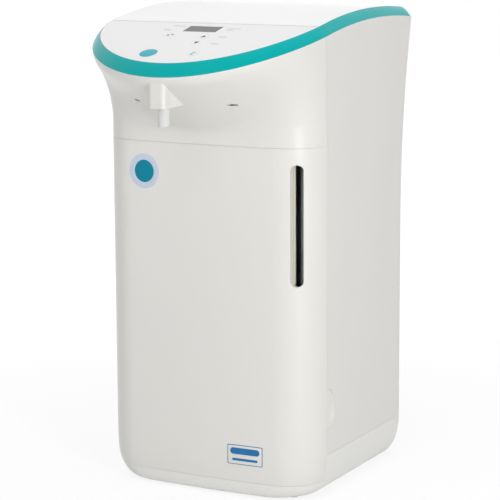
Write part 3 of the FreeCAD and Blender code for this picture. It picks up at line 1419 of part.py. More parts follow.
tank_low = s.shelf_height + s.shelf_thickness
pump_top = s.pump_z + s.pump_radius + s.port_length
hose("supply_tube", [(pump_x, s.pump_y, pump_top), (pump_x, s.pump_y, tank_low)])
port_y = s.pump_y - s.pump_radius - s.port_length
hose("pressure_tube", [
    (pump_x, port_y, s.pump_z), (pump_x, s.column_y, s.pump_z),
    (s.hose_column, s.column_y, s.pump_z), (s.hose_column, s.column_y, manifold_middle),
    (s.hose_column, s.bulkhead_y, manifold_middle)])
manifold_top = manifold_low + s.manifold_height
uv_port_y = s.uv_y - s.uv_radius - s.port_length
riser_top = s.uv_port_height
loop_top = manifold_top + s.hose_loop
hose("riser_tube", [
    (s.cartridge_right, s.riser_y, manifold_top), (s.cartridge_right, s.riser_y, loop_top),
    (s.uv_x, s.riser_y, loop_top), (s.uv_x, s.riser_y, riser_top), (s.uv_x, uv_port_y, riser_top)])
hose("uv_tube", [
    (s.uv_x, s.uv_y, uv_top), (s.uv_x, s.uv_y, s.hose_top), (s.uv_x, s.filter_y, s.hose_top),
    (s.filter_x, s.filter_y, s.hose_top), (s.filter_x, s.filter_y, filter_top)])
hose("cell_tube", [
    (s.filter_x, s.filter_y, s.filter_low), (s.filter_x, s.filter_y, s.hose_low),
    (s.filter_x, s.cell_y, s.hose_low), (s.filter_x, s.cell_y, s.cell_low)])
cell_top = s.cell_low + s.cell_length
valve_port = valve_low + s.valve_height / 2
hose("valve_tube", [
    (s.filter_x, s.cell_y, cell_top), (s.filter_x, s.cell_y, valve_port),
    (s.valve_width / 2, s.cell_y, valve_port)])
nozzle_top = nozzle_foot + nozzle_high
outlet_z = valve_port + s.valve_height / 4
hose("outlet_tube", [(0, s.valve_front, outlet_z), (0, nozzle_y, outlet_z),
                     (0, nozzle_y, nozzle_top)])
fitting_y = s.drain_y + s.bend_radius * FITTING_SHARE
hose("drain_tube", [(s.drain_x, s.drain_y, tank_low), (s.drain_x, s.drain_y, s.drain_z),
                    (s.drain_x, fitting_y, s.drain_z)])
fitting_run = back - fitting_y + s.drain_reach
collar = back - fitting_y
fitting_outline = [(0, 0), (s.drain_radius, 0), (s.drain_radius, collar), (s.drain_nut, collar),
                   (s.drain_nut, collar + s.drain_lip), (s.drain_radius, collar + s.drain_lip),
                   (s.drain_radius - s.cap_step, fitting_run), (0, fitting_run)]
piece("drain_fitting", turned(fitting_outline, (s.drain_x, fitting_y, s.drain_z), AXIS_TURNS["y"]))

# Power supply on the tray, main board on the bulkhead
piece("power_supply", box((s.supply_width, s.supply_length, s.supply_height),
                          (s.supply_x, s.supply_y, floor)))
post_y = s.bulkhead_y - s.post_length
board = box((s.main_width, s.board_thickness, s.main_height),
            (s.board_x, post_y - s.board_thickness, s.board_z))
posts = []
for x in (s.board_x + s.post_radius * 2, s.board_x + s.main_width - s.post_radius * 2):
    for z in (s.board_z + s.post_radius * 2, s.board_z + s.main_height - s.post_radius * 2):
        posts.append(cylinder(s.post_radius, s.post_length, (x, post_y, z), "y"))
parts_y = post_y - s.board_thickness - s.part_height
relay = box((s.main_width / 3, s.part_height, s.main_height / 5),
            (s.board_x + s.main_width / 8, parts_y, s.board_z + s.main_height / 2))
plug = box((s.main_width / 2, s.part_height, s.part_height),
           (s.board_x + s.main_width / 4, parts_y, s.board_z + s.main_height / 5))
piece("control_board", fuse(board, relay, plug, *posts))

# Mains inlet in the rear panel: a bezel, a cup and three blades
inlet_low = s.inlet_z - s.inlet_height / 2
inlet_left = s.inlet_x - s.inlet_width / 2
bezel = box((s.inlet_width + s.inlet_bezel * 2, s.bezel_height, s.inlet_height + s.inlet_bezel * 2),
            (inlet_left - s.inlet_bezel, back, inlet_low - s.inlet_bezel))
shell = box((s.inlet_width, s.inlet_depth, s.inlet_height),
            (inlet_left, back - s.inlet_depth, inlet_low))
hollow = box((s.inlet_width - s.inlet_wall * 2, s.inlet_depth + s.overrun,
              s.inlet_height - s.inlet_wall * 2),
             (inlet_left + s.inlet_wall, back - s.inlet_depth + s.inlet_wall,
              inlet_low + s.inlet_wall))
blades = []
for number, rise in ((-1, 0), (0, 1), (1, 0)):
    centre_x = s.inlet_x + s.blade_pitch * number
    centre_z = s.inlet_z + s.blade_width / 2 * rise
    blades.append(box((s.blade_thickness, s.blade_length, s.blade_width),
                      (centre_x - s.blade_thickness / 2, back - s.inlet_depth + s.inlet_wall,
                       centre_z - s.blade_width / 2)))
piece("power_inlet", fuse(cut(fuse(bezel, shell), hollow), *blades))

# Rocker switch over the inlet
frame_low = s.switch_z - s.frame_height / 2
frame_left = s.inlet_x - s.frame_width / 2
rim = s.inlet_bezel / 2
bezel = box((s.frame_width + rim * 2, s.bezel_height, s.frame_height + rim * 2),
            (frame_left - rim, back, frame_low - rim))
shell = box((s.frame_width, s.inlet_depth, s.frame_height),
            (frame_left, back - s.inlet_depth, frame_low))
room_width = s.rocker_width + s.rocker_gap * 2
room_height = s.rocker_height + s.rocker_gap * 4
hollow = box((room_width, s.inlet_depth / 2 + s.overrun, room_height),
             (s.inlet_x - room_width / 2, back - s.inlet_depth / 2,
              s.switch_z - room_height / 2))
trunnion_run = s.rocker_width + s.trunnion_run * 2
trunnion_at = (s.inlet_x - trunnion_run / 2, back, s.switch_z)
bearing = cylinder(s.trunnion_radius + s.pin_gap, trunnion_run + s.seam,
                   (s.inlet_x - (trunnion_run + s.seam) / 2, back, s.switch_z), "x")
piece("switch_frame", cut(fuse(bezel, shell), hollow, bearing))
half = s.rocker_height / 2
rocker_outline = [(-s.rocker_depth, -half * ROCKER_TAPER), (s.rocker_rise, -half),
                  (s.rocker_dip, 0), (s.rocker_rise, half),
                  (-s.rocker_depth, half * ROCKER_TAPER)]
rocker = folded(rocker_outline, s.rocker_width, (s.inlet_x, back, s.switch_z))
rocker.Placement.Rotation = Rotation(Vector(1, 0, 0), -float(s.rocker_tilt))
trunnion = cylinder(s.trunnion_radius, trunnion_run, trunnion_at, "x")
piece("power_rocker", fuse(rocker, trunnion))

# Screws of the rear panel
screw_x = s.rear_panel_width / 2 - s.screw_inset
screws = []
for sign in (-1, 1):
    for number in range(int(float(s.screw_count))):
        z = s.screw_low + s.screw_pitch * number
        head = cylinder(s.screw_head, s.screw_head_height, (screw_x * sign, back, z), "y")
        shank = cylinder(s.screw_radius, s.wall + s.rail_gap + s.seam,
                         (screw_x * sign, back - s.wall - s.rail_gap, z), "y")
        screws.append(fuse(head, shank))
piece("panel_screws", group(screws))

doc.recompute()
for thing in doc.Objects:
    if "Invalid" in thing.State or "Error" in thing.State:
        raise RuntimeError(f"{thing.Name} ({thing.Label}) failed: {thing.State}")
faulty = [thing.Label for thing in pieces
          if thing.Shape.isNull() or not thing.Shape.isValid() or not thing.Shape.Solids]
if faulty:
    raise RuntimeError(f"no valid solid in {faulty}")
os.makedirs("parts", exist_ok=True)
for thing in pieces:
    thing.Shape.exportStep(f"parts/{thing.Label}.step")
print(f"{len(pieces)} sub-parts, {sum(len(thing.Shape.Solids) for thing in pieces)} solids")
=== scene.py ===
# %% [markdown]
# # A bench-top ultrapure water system, dressed in Blender
#
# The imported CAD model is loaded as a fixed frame: every moulding, hose and screw is already in place,
# in metres, standing on the floor. What is left is finish: the plastics, metals and glass, the printed
# marks on the control panel, the badge, the plate, and the light and camera of a product photograph.

# %% Load the frame
import math

import bmesh
import bpy
from mathutils import Matrix, Vector
from mathutils.bvhtree import BVHTree


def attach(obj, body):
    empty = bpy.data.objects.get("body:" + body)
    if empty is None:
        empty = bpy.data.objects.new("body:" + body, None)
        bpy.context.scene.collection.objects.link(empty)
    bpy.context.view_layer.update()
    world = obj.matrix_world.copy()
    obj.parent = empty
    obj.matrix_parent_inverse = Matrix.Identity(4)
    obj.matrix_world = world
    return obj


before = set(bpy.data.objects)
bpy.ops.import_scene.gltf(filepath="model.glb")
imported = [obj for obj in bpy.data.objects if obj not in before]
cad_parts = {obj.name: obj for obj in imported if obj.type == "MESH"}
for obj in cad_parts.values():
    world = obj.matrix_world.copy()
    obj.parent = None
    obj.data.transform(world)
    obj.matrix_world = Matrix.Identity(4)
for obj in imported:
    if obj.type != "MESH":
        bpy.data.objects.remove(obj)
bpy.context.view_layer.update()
MM = 0.001

# %% [markdown]
# ## The crown's arc
#
# Seen from the side, the control panel and the lid lie on one circular arc about a line across the
# machine. Everything printed on the panel is placed square to that arc, so two small helpers give the
# height over any place and the turn that lays a flat mark on it.

# %% Places on the crown
ARC_RADIUS = 754.6 * MM
ARC_Y = 92.0 * MM
ARC_Z = -188.1 * MM


def crown_lean(y):
    """The slope of the crown at a place along Y, as an angle."""
    return math.asin((y - ARC_Y) / ARC_RADIUS)


def on_crown(x, y, rise=0.0):
    """The matrix that lays a flat piece on the crown's surface."""
    lean = crown_lean(y)
    reach = ARC_RADIUS + rise
    spot = Vector((x, ARC_Y + reach * math.sin(lean), ARC_Z + reach * math.cos(lean)))
    return Matrix.Translation(spot) @ Matrix.Rotation(-lean, 4, "X")


print("panel height at the nose:", round(on_crown(0, -0.18).translation.z, 4))

# %% [markdown]
# ## Shader maths as sums
#
# A procedural finish is mostly arithmetic on patterns: noise times a little, plus a base value. The
# class below wraps one socket, so that `0.4 + grain * 0.05` adds the Math nodes by itself. Colours go
# through a Mix node, because a Math node would turn them grey.

# %% A small wrapper for sockets
class Socket:
    """One output socket, with arithmetic that adds Math nodes."""

    def __init__(self, finish, link):
        self.finish = finish
        self.link = link

    def _math(self, operation, other):
        return self.finish.node("ShaderNodeMath", {"operation": operation}, self, other)

    def __add__(self, other):
        return self._math("ADD", other)

    __radd__ = __add__

    def __mul__(self, other):
        return self._math("MULTIPLY", other)

    __rmul__ = __mul__


class Finish:
    """One material: a Principled shader and the pattern nodes that feed it."""

    def __init__(self, name):
        self.material = bpy.data.materials.new(name)
        self.material.use_nodes = True
        self.tree = self.material.node_tree
        self.shader = self.tree.nodes["Principled BSDF"]
        place = self.tree.nodes.new("ShaderNodeTexCoord")
        self.place = Socket(self, place.outputs["Object"])

    def node(self, kind, settings, *values, output=0, **named):
        """Any other node: its settings first, then its inputs, in order or by name."""
        made = self.tree.nodes.new(kind)
        for key, value in settings.items():
            setattr(made, key, value)
        for key, value in list(enumerate(values)) + list(named.items()):
            entry = made.inputs[key.replace("_", " ") if isinstance(key, str) else key]
            if isinstance(value, Socket):
                self.tree.links.new(value.link, entry)
            else:
                entry.default_value = value
        return Socket(self, made.outputs[output])

    def noise(self, scale, detail=3.0, stretch=None):
        """Noise over the piece, with its scale in bumps to the metre."""
        place = self.place
        if stretch:
            place = self.node("ShaderNodeMapping", {}, place, Scale=stretch)
        return self.node("ShaderNodeTexNoise", {}, place, Scale=scale, Detail=detail)

    def blend(self, share, first, second):
        """A colour between two, by a share from 0 to 1."""
        mixer = self.tree.nodes.new("ShaderNodeMix")
        mixer.data_type = "RGBA"
        for key, value in ((0, share), (6, first), (7, second)):
            if isinstance(value, Socket):
                self.tree.links.new(value.link, mixer.inputs[key])
            else:
                mixer.inputs[key].default_value = (*value, 1) if key else value
        return Socket(self, mixer.outputs[2])

    def set(self, **inputs):
        """Numbers, colours and patterns on the Principled shader's own inputs."""
        for key, value in inputs.items():
            entry = self.shader.inputs[key.replace("_", " ")]
            if isinstance(value, Socket):
                self.tree.links.new(value.link, entry)
            elif isinstance(value, tuple):
                entry.default_value = (*value, 1)
            else:
                entry.default_value = value
        return self

    def bump(self, height, distance, strength=1.0):
        """A height pattern that tilts the light, without moving the surface."""
        bump = self.node("ShaderNodeBump", {}, Strength=strength, Distance=distance, Height=height)
        self.tree.links.new(bump.link, self.shader.inputs["Normal"])
        return self


# %% [markdown]
# ## Moulded plastics
#
# The housing is injection-moulded, in a warm white. A real moulding is never one flat value: the
# tool's fine spark texture breaks up the highlight, and the sheen changes slowly over a large face.
# So the colour drifts by a few hundredths, the roughness by as much, and a very fine bump stands for
# the texture. The side panels are slightly greyer and duller than the front. The ring has almost no
# gloss but a strong sheen, which pales it where it is seen at a slant.

# %% Plastics
def plastic(name, colour, rough, grain=0.00002, drift=0.015, scale=2600, coat=0.0):
    """A moulded plastic with a spark-eroded texture."""
    finish = Finish(name)
    slow = finish.noise(7, 2.0)
    fine = finish.noise(scale, 2.0)
    darker = tuple(part * (1 - drift * 2) for part in colour)
    finish.set(Base_Color=finish.blend(slow, darker, colour), Roughness=rough - 0.03 + slow * 0.06,
               Coat_Weight=coat, Coat_Roughness=0.08)
    return finish.bump(fine, grain)


white = plastic("warm_white_shell", (0.80, 0.79, 0.755), 0.34)
grey_white = plastic("side_panel_shell", (0.79, 0.778, 0.75), 0.42)
tray_white = plastic("tray_shell", (0.84, 0.835, 0.81), 0.44)
panel_white = plastic("panel_film", (0.80, 0.80, 0.80), 0.36, grain=0.00001)
lid_white = plastic("lid_shell", (0.89, 0.89, 0.89), 0.38)
teal = plastic("teal_ring", (0.001, 0.41, 0.41), 0.24, grain=0.000008, drift=0.03)
teal.set(Specular_IOR_Level=0.02, Sheen_Weight=1.0, Sheen_Roughness=0.38,
         Sheen_Tint=(0.75, 0.95, 1.0))
black = plastic("black_plastic", (0.018, 0.018, 0.02), 0.45, drift=0.1)
blue = plastic("cartridge_blue", (0.06, 0.20, 0.42), 0.35, drift=0.06)
natural = plastic("natural_plastic", (0.72, 0.73, 0.71), 0.40, grain=0.00004)
natural.set(Subsurface_Weight=0.25, Subsurface_Scale=0.004)
rubber = plastic("rubber", (0.028, 0.028, 0.03), 0.75, grain=0.00006, drift=0.12, scale=1500)
print("plastics:", len(bpy.data.materials))

# %% [markdown]
# ## Metals, clear pieces and the circuit boards
#
# Sheet metal is rolled, so its grain is noise stretched along one direction. The hoses and the level
# tube let part of the light through and scatter it, which is a rough surface on a transmitting
# shader. The boards carry copper lines under green lacquer: a brick pattern mixes two greens.

# %% Metals and clear pieces
def metal(name, colour, rough, stretch=(400, 400, 14), grain=0.000015):
    """A metal with a rolled or turned grain."""
    finish = Finish(name)
    lines = finish.noise(1.0, 2.0, stretch)
    finish.set(Base_Color=finish.blend(lines, tuple(part * 0.9 for part in colour), colour),
               Metallic=1.0, Roughness=rough - 0.06 + lines * 0.12)
    return finish.bump(lines, grain)


def clear(name, colour, rough, through, ior=1.45):
    """A clear or frosted plastic."""
    finish = Finish(name)
    haze = finish.noise(300, 2.0)
    finish.set(Base_Color=finish.blend(haze, tuple(part * 0.97 for part in colour), colour),
               Roughness=rough - 0.02 + haze * 0.04, Transmission_Weight=through, IOR=ior)
    return finish


steel_sheet = metal("steel_sheet", (0.60, 0.61, 0.62), 0.38)
stainless = metal("stainless", (0.66, 0.66, 0.67), 0.26)
brass = metal("brass", (0.72, 0.52, 0.24), 0.30, (900, 900, 900))
painted = plastic("grey_paint", (0.13, 0.14, 0.15), 0.4, drift=0.06)
zinc = plastic("zinc_case", (0.52, 0.53, 0.54), 0.42, drift=0.05)
nozzle_white = plastic("nozzle_plastic", (0.73, 0.735, 0.72), 0.5, grain=0.00001)
tube_clear = clear("hose_plastic", (0.86, 0.90, 0.91), 0.28, 0.45)
level_clear = clear("level_glass", (0.80, 0.84, 0.80), 0.12, 0.75)
display = Finish("display_glass")
display.set(Base_Color=display.blend(display.noise(60), (0.10, 0.10, 0.11), (0.12, 0.12, 0.13)),
            Roughness=0.25, Specular_IOR_Level=0.12)
board = Finish("board_lacquer")
lines = board.node("ShaderNodeTexBrick", {"offset": 0.5}, board.place, Scale=220.0,
                   Mortar_Size=0.03, output=1)
board.set(Base_Color=board.blend(lines, (0.012, 0.10, 0.045), (0.05, 0.22, 0.10)),
          Roughness=0.32, Coat_Weight=0.4)
print("materials:", len(bpy.data.materials))

# %% [markdown]
# ## Dressing the CAD nodes
#
# A CAD node keeps its mesh and gets a finish on its material slots. A table from node to finish is
# easier to read, and to check against the parts list, than sixty separate lines.

# %% Assign the finishes
FINISHES = {
    white: ["front_cover", "head_cover"],
    panel_white: ["control_panel", "menu_key", "up_key", "down_key", "dispense_key"],
    lid_white: ["top_lid"],
    grey_white: ["left_panel", "right_panel", "rear_panel"],
    tray_white: ["base_tray", "pretreatment_cartridge"],
    teal: ["crown_ring"],
    rubber: ["rubber_feet", "tank_gasket", "pump_cradle"],
    natural: ["top_deck", "cover_catches", "feed_tank", "float_stem", "tank_float", "level_fittings",
              "manifold", "final_filter"],
    blue: ["tank_cap", "polishing_cartridge"],
    black: ["cartridge_seats", "cartridge_clips", "pump_head", "uv_clamps", "filter_clip",
            "dispense_valve", "power_inlet", "switch_frame", "power_rocker"],
    steel_sheet: ["bulkhead", "tank_shelf", "head_shelf"],
    stainless: ["hinge_pins", "uv_chamber", "resistivity_cell", "panel_screws"],
    brass: ["drain_fitting"],
    painted: ["pump_motor", "valve_coil"],
    zinc: ["power_supply"],
    nozzle_white: ["nozzle"],
    tube_clear: ["supply_tube", "pressure_tube", "riser_tube", "uv_tube", "cell_tube", "valve_tube",
                 "outlet_tube", "drain_tube"],
    level_clear: ["level_tube"],
    display: ["display_window"],
    board: ["display_board", "control_board"],
}
dressed = set()
for finish, names in FINISHES.items():
    for name in names:
        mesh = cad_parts[name].data
        mesh.materials.clear()
        mesh.materials.append(finish.material)
        dressed.add(name)
print("dressed:", len(dressed), "left bare:", sorted(set(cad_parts) - dressed))

# %% [markdown]
# ## Thin printed and applied pieces
#
# Marks on a control panel are ink a few hundredths of a millimetre thick. Here each one is a thin
# plate with a rounded edge, lifted just clear of the surface, which gives a crisp outline from any
# distance. One helper turns a flat bmesh into such a plate and lays it in place.

# %% Helpers for thin plates
def keep(bm, name, finish, body, matrix=None, sharp=40):
    """Turn a bmesh into a finished piece that rides on a CAD body."""
    bmesh.ops.remove_doubles(bm, verts=bm.verts, dist=1e-7)
    bmesh.ops.recalc_face_normals(bm, faces=bm.faces)
    if matrix:
        bmesh.ops.transform(bm, matrix=matrix, verts=bm.verts)
    mesh = bpy.data.meshes.new(name)
    bm.to_mesh(mesh)
    bm.free()
    mesh.materials.append(finish.material)
    mesh.shade_smooth()
    mesh.set_sharp_from_angle(angle=math.radians(sharp))
    piece = bpy.data.objects.new(name, mesh)
    bpy.context.scene.collection.objects.link(piece)
    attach(piece, body)
    return piece


def raise_plate(bm, thickness, soften=0.3):
    """Give a flat bmesh a thickness upwards and a softened upper edge."""
    faces = list(bm.faces)
    bmesh.ops.reverse_faces(bm, faces=[face for face in faces if face.normal.z > 0])
    raised = bmesh.ops.extrude_face_region(bm, geom=faces)
    tops = [item for item in raised["geom"] if isinstance(item, bmesh.types.BMVert)]
    bmesh.ops.translate(bm, vec=(0, 0, thickness), verts=tops)
    rim = [edge for edge in bm.edges if all(vert in set(tops) for vert in edge.verts)
           and len(edge.link_faces) == 2
           and abs(edge.link_faces[0].normal.dot(edge.link_faces[1].normal)) < 0.5]
    if soften:
        bmesh.ops.bevel(bm, geom=rim, offset=thickness * soften, segments=2, affect="EDGES",
                        profile=0.5, material=-1)
    return bm


def polygon(points):
    """A flat bmesh face from a few corners, in metres."""
    bm = bmesh.new()
    bm.faces.new([bm.verts.new((x, y, 0)) for x, y in points])
    return bm


def rounded_bar(length, width, corner=0.45):
    """A flat bar with rounded corners."""
    bm = polygon([(-length / 2, -width / 2), (length / 2, -width / 2), (length / 2, width / 2),
                  (-length / 2, width / 2)])
    bmesh.ops.bevel(bm, geom=list(bm.verts), offset=min(length, width) * corner, segments=5,
                    affect="VERTICES", profile=0.5, material=-1)
    return bm


def disc(radius, segments=64):
    """A flat disc."""
    bm = bmesh.new()
    bmesh.ops.create_circle(bm, cap_ends=True, radius=radius, segments=segments)
    return bm


def ring(inner, outer, segments=64):
    """A flat ring between two radii."""
    bm = disc(outer, segments)
    bmesh.ops.inset_individual(bm, faces=list(bm.faces), thickness=outer - inner, depth=0)
    middle = min(bm.faces, key=lambda face: -len(face.verts))
    bmesh.ops.delete(bm, geom=[middle], context="FACES_ONLY")
    return bm


ink_teal = plastic("teal_ink", (0.01, 0.42, 0.46), 0.4, drift=0.03)
ink_cyan = plastic("cyan_ink", (0.06, 0.43, 0.53), 0.4, drift=0.03)
ink_deep = plastic("deep_teal_ink", (0.004, 0.25, 0.37), 0.4, drift=0.03)
ink_pale = plastic("pale_blue_ink", (0.60, 0.67, 0.82), 0.4, drift=0.03)
# Grey for painted shade along the lid's step on the panel.
lid_step_shade_finish = plastic("lid_step_painted_shade_grey", (0.50, 0.505, 0.50), 0.6, drift=0.03)
ink_grey = plastic("grey_ink", (0.42, 0.42, 0.43), 0.45, drift=0.03)
# Dark ink for the printed marks, also used as painted shade behind the level slot.
dark_print_and_shade = plastic("dark_print_and_painted_shade", (0.13, 0.13, 0.14), 0.45, drift=0.03)
ink_blue = plastic("blue_ink", (0.03, 0.19, 0.44), 0.4, drift=0.03)
for ink in (ink_cyan, ink_deep, ink_teal, ink_blue, dark_print_and_shade):
    ink.set(Specular_IOR_Level=0.1)

# %% [markdown]
# ## Marks on the control panel
#
# The panel is a membrane keypad: arrows for up and down beside two short captions, two teal marks on
# the dispense key, and two small dark marks on the menu key. The captions are plain bars, because the
# part is bare of any lettering. Each mark on a key rides with that key. A grey strip of painted shade
# lies along the panel's back edge, where the lid meets it, standing in for the shaded front edge of
# the lid's small step.

# %% Panel marks
LIFT = 0.00002
MARK_THICKNESS = 0.00012
KEY_TOP = 0.00017
LID_STEP_SHADE_Y = -54.3
CAPTION_WIDTH = 0.0013


def mark(name, bm, x, y, finish, body="frame", turn=0.0, proud=LIFT):
    """Lay a thin mark on the control panel, at a place in millimetres."""
    raise_plate(bm, MARK_THICKNESS)
    matrix = on_crown(x * MM, y * MM, proud) @ Matrix.Rotation(turn, 4, "Z")
    return keep(bm, name, finish, body, matrix)


def triangle(width, height):
    """An arrowhead that points along +Y."""
    return polygon([(-width / 2, -height / 2), (width / 2, -height / 2), (0, height / 2)])


mark("up_arrow", triangle(0.0060, 0.0066), 15.2, -102.8, dark_print_and_shade, "up_key_body", proud=KEY_TOP)
mark("down_arrow", triangle(0.0060, 0.0066), 16.4, -123.8, dark_print_and_shade, "down_key_body", math.pi,
     proud=KEY_TOP)
mark("dispense_arrow", triangle(0.0048, 0.0044), 28.4, -155.8, ink_teal, "dispense_key_body",
     math.pi, proud=KEY_TOP)
mark("dispense_bar", rounded_bar(0.0042, 0.0018), 29.2, -150.3, ink_teal, "dispense_key_body",
     proud=KEY_TOP)
CAPTIONS = [
    ("caption_up", 39.8, -103.6, 11),
    ("caption_down", 41.3, -124.9, 10),
    ("caption_left_back", -35.5, -69.3, 17),
    ("caption_left_mid", -42.6, -84.8, 9),
    ("caption_right_back", 38.6, -73.8, 17),
    ("caption_right_mid", 35, -79.2, 10),
]
for name, x, y, length in CAPTIONS:
    mark(name, rounded_bar(length * MM, CAPTION_WIDTH), x, y, ink_grey)
mark("menu_dot", disc(0.0017, 32), -31.4, -103.4, dark_print_and_shade, "menu_key_body", proud=KEY_TOP)
mark("menu_bar", rounded_bar(0.0030, 0.0022, 0.3), -27.6, -100.6, dark_print_and_shade, "menu_key_body",
     proud=KEY_TOP)
# Painted shade: a grey strip on the panel's back edge stands in for the shaded front edge of the lid's
# step.
mark("lid_step_shade_strip", rounded_bar(0.2690, 0.0009, 0.3), 0, LID_STEP_SHADE_Y, lid_step_shade_finish)

# %% [markdown]
# ## Panel disc, front badge and bottom plate
#
# Three plain pieces: a cyan disc on the panel, a pale ring round a deep teal disc on the cover, and a
# bare plate with two stripes below. The front cover is bowed, so the badge and the plate are tilted
# to lie on the bow at their own places.

# %% Badge, disc and plate
mark("panel_disc", disc(0.0105), -26.3, -156.1, ink_cyan)
BOW_RADIUS = 1.290
COVER_FRONT = -89.8 * MM
BADGE_THICKNESS = 0.0003
BADGE_SINK = 0.0001
BADGE_PLACE = (-75.3, 380.3)


def on_cover(x, z, proud=0.0):
    """The matrix that lays a flat piece on the bowed cover, its X across and its Y upwards."""
    turn = math.asin(x / BOW_RADIUS)
    reach = BOW_RADIUS + proud
    spot = Vector((reach * math.sin(turn), COVER_FRONT + BOW_RADIUS - reach * math.cos(turn), z))
    return (Matrix.Translation(spot) @ Matrix.Rotation(turn, 4, "Z")
            @ Matrix.Rotation(math.pi / 2, 4, "X"))


def badge(name, bm, x, z, finish, proud=0.0):
    """Lay a thin plate on the front cover, its back sunk a little so that no gap shows."""
    raise_plate(bm, BADGE_THICKNESS)
    return keep(bm, name, finish, "front_cover_body",
                on_cover(x * MM, z * MM, proud - BADGE_SINK))


badge("badge_ring", ring(0.0140, 0.0205), *BADGE_PLACE, ink_pale)
badge("badge_disc", disc(0.0133), *BADGE_PLACE, ink_deep)
badge("name_plate", rounded_bar(0.0451, 0.0236, 0.06), 57, 53.2, ink_blue)
badge("name_plate_face", rounded_bar(0.0435, 0.0220, 0.05), 57, 53.2, white, proud=0.0001)
badge("plate_stripe", rounded_bar(0.0380, 0.0078, 0.5), 57, 57.6, ink_blue, proud=0.00022)
badge("plate_line", rounded_bar(0.0330, 0.0030, 0.5), 57, 47.4, ink_blue, proud=0.00022)

# %% [markdown]
# ## The level scale
#
# Behind the slot in the front cover stands the level tube. The cream strip on the inner wall of the
# slot's sleeve and a dark strip behind it give the slot its three tones; the dark strip is painted
# shade, standing in for the shaded inside of the housing.

# %% Level scale
scale_cream = plastic("cream_strip", (0.86, 0.83, 0.66), 0.5)


def upright_strip(name, x, y, z_low, z_high, width, depth, finish, body="frame"):
    """A strip that stands behind the slot."""
    bm = bmesh.new()
    bmesh.ops.create_cube(bm, size=1)
    bmesh.ops.scale(bm, vec=(width, depth, z_high - z_low), verts=bm.verts)
    bmesh.ops.bevel(bm, geom=list(bm.edges), offset=min(width, depth) * 0.2, segments=2,
                    affect="EDGES", profile=0.5, material=-1)
    middle = Matrix.Translation((x, y, (z_low + z_high) / 2))
    return keep(bm, name, finish, body, middle)


# Painted shade: a dark upright strip behind the slot stands in for the shaded inside of the housing.
upright_strip("slot_painted_shade", 0.119, -0.056, 0.252, 0.395, 0.0060, 0.0060, dark_print_and_shade)
upright_strip("scale_strip", 0.11305, -0.0701, 0.2585, 0.395, 0.0005, 0.0052, scale_cream,
              "front_cover_body")

# %% [markdown]
# ## The lip behind the door-top seam
#
# The front cover and the head meet along a half-millimetre gap. On a moulded housing the head carries
# a lip behind it, so the seam reads as a soft line and not as a black one. The lip follows the bow and
# the two corner arcs, a little behind the outer faces, and stays with the frame.

# %% The seam's lip
CORNER_RADIUS = 0.050
CORNER_X = 0.090
CORNER_Y = -0.0365
BOW_Y = COVER_FRONT + BOW_RADIUS
TANGENT = math.atan2(CORNER_X, BOW_Y - CORNER_Y)
CORNER_END = math.radians(86.8)
BOW_STEPS = 12
CORNER_STEPS = 14


def seam_outline(recess):
    """The column's outline from the left corner to the right one, a little inside its faces."""
    bow = [TANGENT * step / BOW_STEPS for step in range(BOW_STEPS)]
    turned = [TANGENT + (CORNER_END - TANGENT) * step / CORNER_STEPS
              for step in range(CORNER_STEPS + 1)]
    half = [((BOW_RADIUS - recess) * math.sin(angle), BOW_Y - (BOW_RADIUS - recess) * math.cos(angle))
            for angle in bow]
    half += [(CORNER_X + (CORNER_RADIUS - recess) * math.sin(angle),
              CORNER_Y - (CORNER_RADIUS - recess) * math.cos(angle)) for angle in turned]
    return [(-x, y) for x, y in reversed(half[1:])] + half


def seam_lip(name, recess, depth, z_low, z_high, finish):
    """A thin strip behind a level seam of the column."""
    bm = bmesh.new()
    rows = [[bm.verts.new((x, y, 0)) for x, y in seam_outline(inset)]
            for inset in (recess, recess + depth)]
    for corners in zip(rows[0], rows[0][1:], rows[1][1:], rows[1]):
        bm.faces.new(corners)
    raise_plate(bm, z_high - z_low, soften=0)
    return keep(bm, name, finish, "frame", Matrix.Translation((0, 0, z_low)))


DOOR_TOP_GAP = (0.4156, 0.4159)
seam_lip("door_top_lip", 0.00045, 0.0012, *DOOR_TOP_GAP, white)

# %% [markdown]
# ## Printed bands inside, and the rocker's marks
#
# With the cover off, the cartridges show coloured bands, which tell them apart. A straight line is cast
# at the CAD node to find its true surface, so each band takes its radius from the piece that it wraps.
# The mains rocker gets the usual bar and ring for on and off, laid square to its two faces.

# %% Bands and rocker marks
BAND_GAP = 0.00015
BAND_THICKNESS = 0.00015
BAND_SEGMENTS = 96
ROCKER_X = -86 * MM
ROCKER_MARK_THICKNESS = 0.0001
BEHIND = 0.4
CARTRIDGE_Y = -30


def surface(node, start, way):
    """Where a straight line meets a CAD node, and the direction the surface faces there."""
    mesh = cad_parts[node].data
    tree = BVHTree.FromPolygons([vertex.co for vertex in mesh.vertices],
                                [face.vertices for face in mesh.polygons])
    spot, normal, _, _ = tree.ray_cast(Vector(start), Vector(way))
    return spot, normal


def wrap(name, node, x_mm, y_mm, low_mm, high_mm, finish):
    """A printed band round an upright cylinder, between two heights."""
    x, y, low, high = (value * MM for value in (x_mm, y_mm, low_mm, high_mm))
    spot, _ = surface(node, (x, y - 1, (low + high) / 2), (0, 1, 0))
    radius = y - spot.y + BAND_GAP
    bm = raise_plate(ring(radius, radius + BAND_THICKNESS, BAND_SEGMENTS), high - low, soften=0)
    return keep(bm, name, finish, "frame", Matrix.Translation((x, y, low)))


for name, x_mm, finish in (("pretreatment", -72, blue), ("polishing", 12, lid_white)):
    wrap(name + "_band", name + "_cartridge", x_mm, CARTRIDGE_Y, 140, 236, finish)
    wrap(name + "_stripe", name + "_cartridge", x_mm, CARTRIDGE_Y, 129.5, 134, ink_cyan)
wrap("chamber_band", "uv_chamber", -100, 60, 300, 392, lid_white)
wrap("filter_band", "final_filter", 60, -12, 446, 470, ink_cyan)


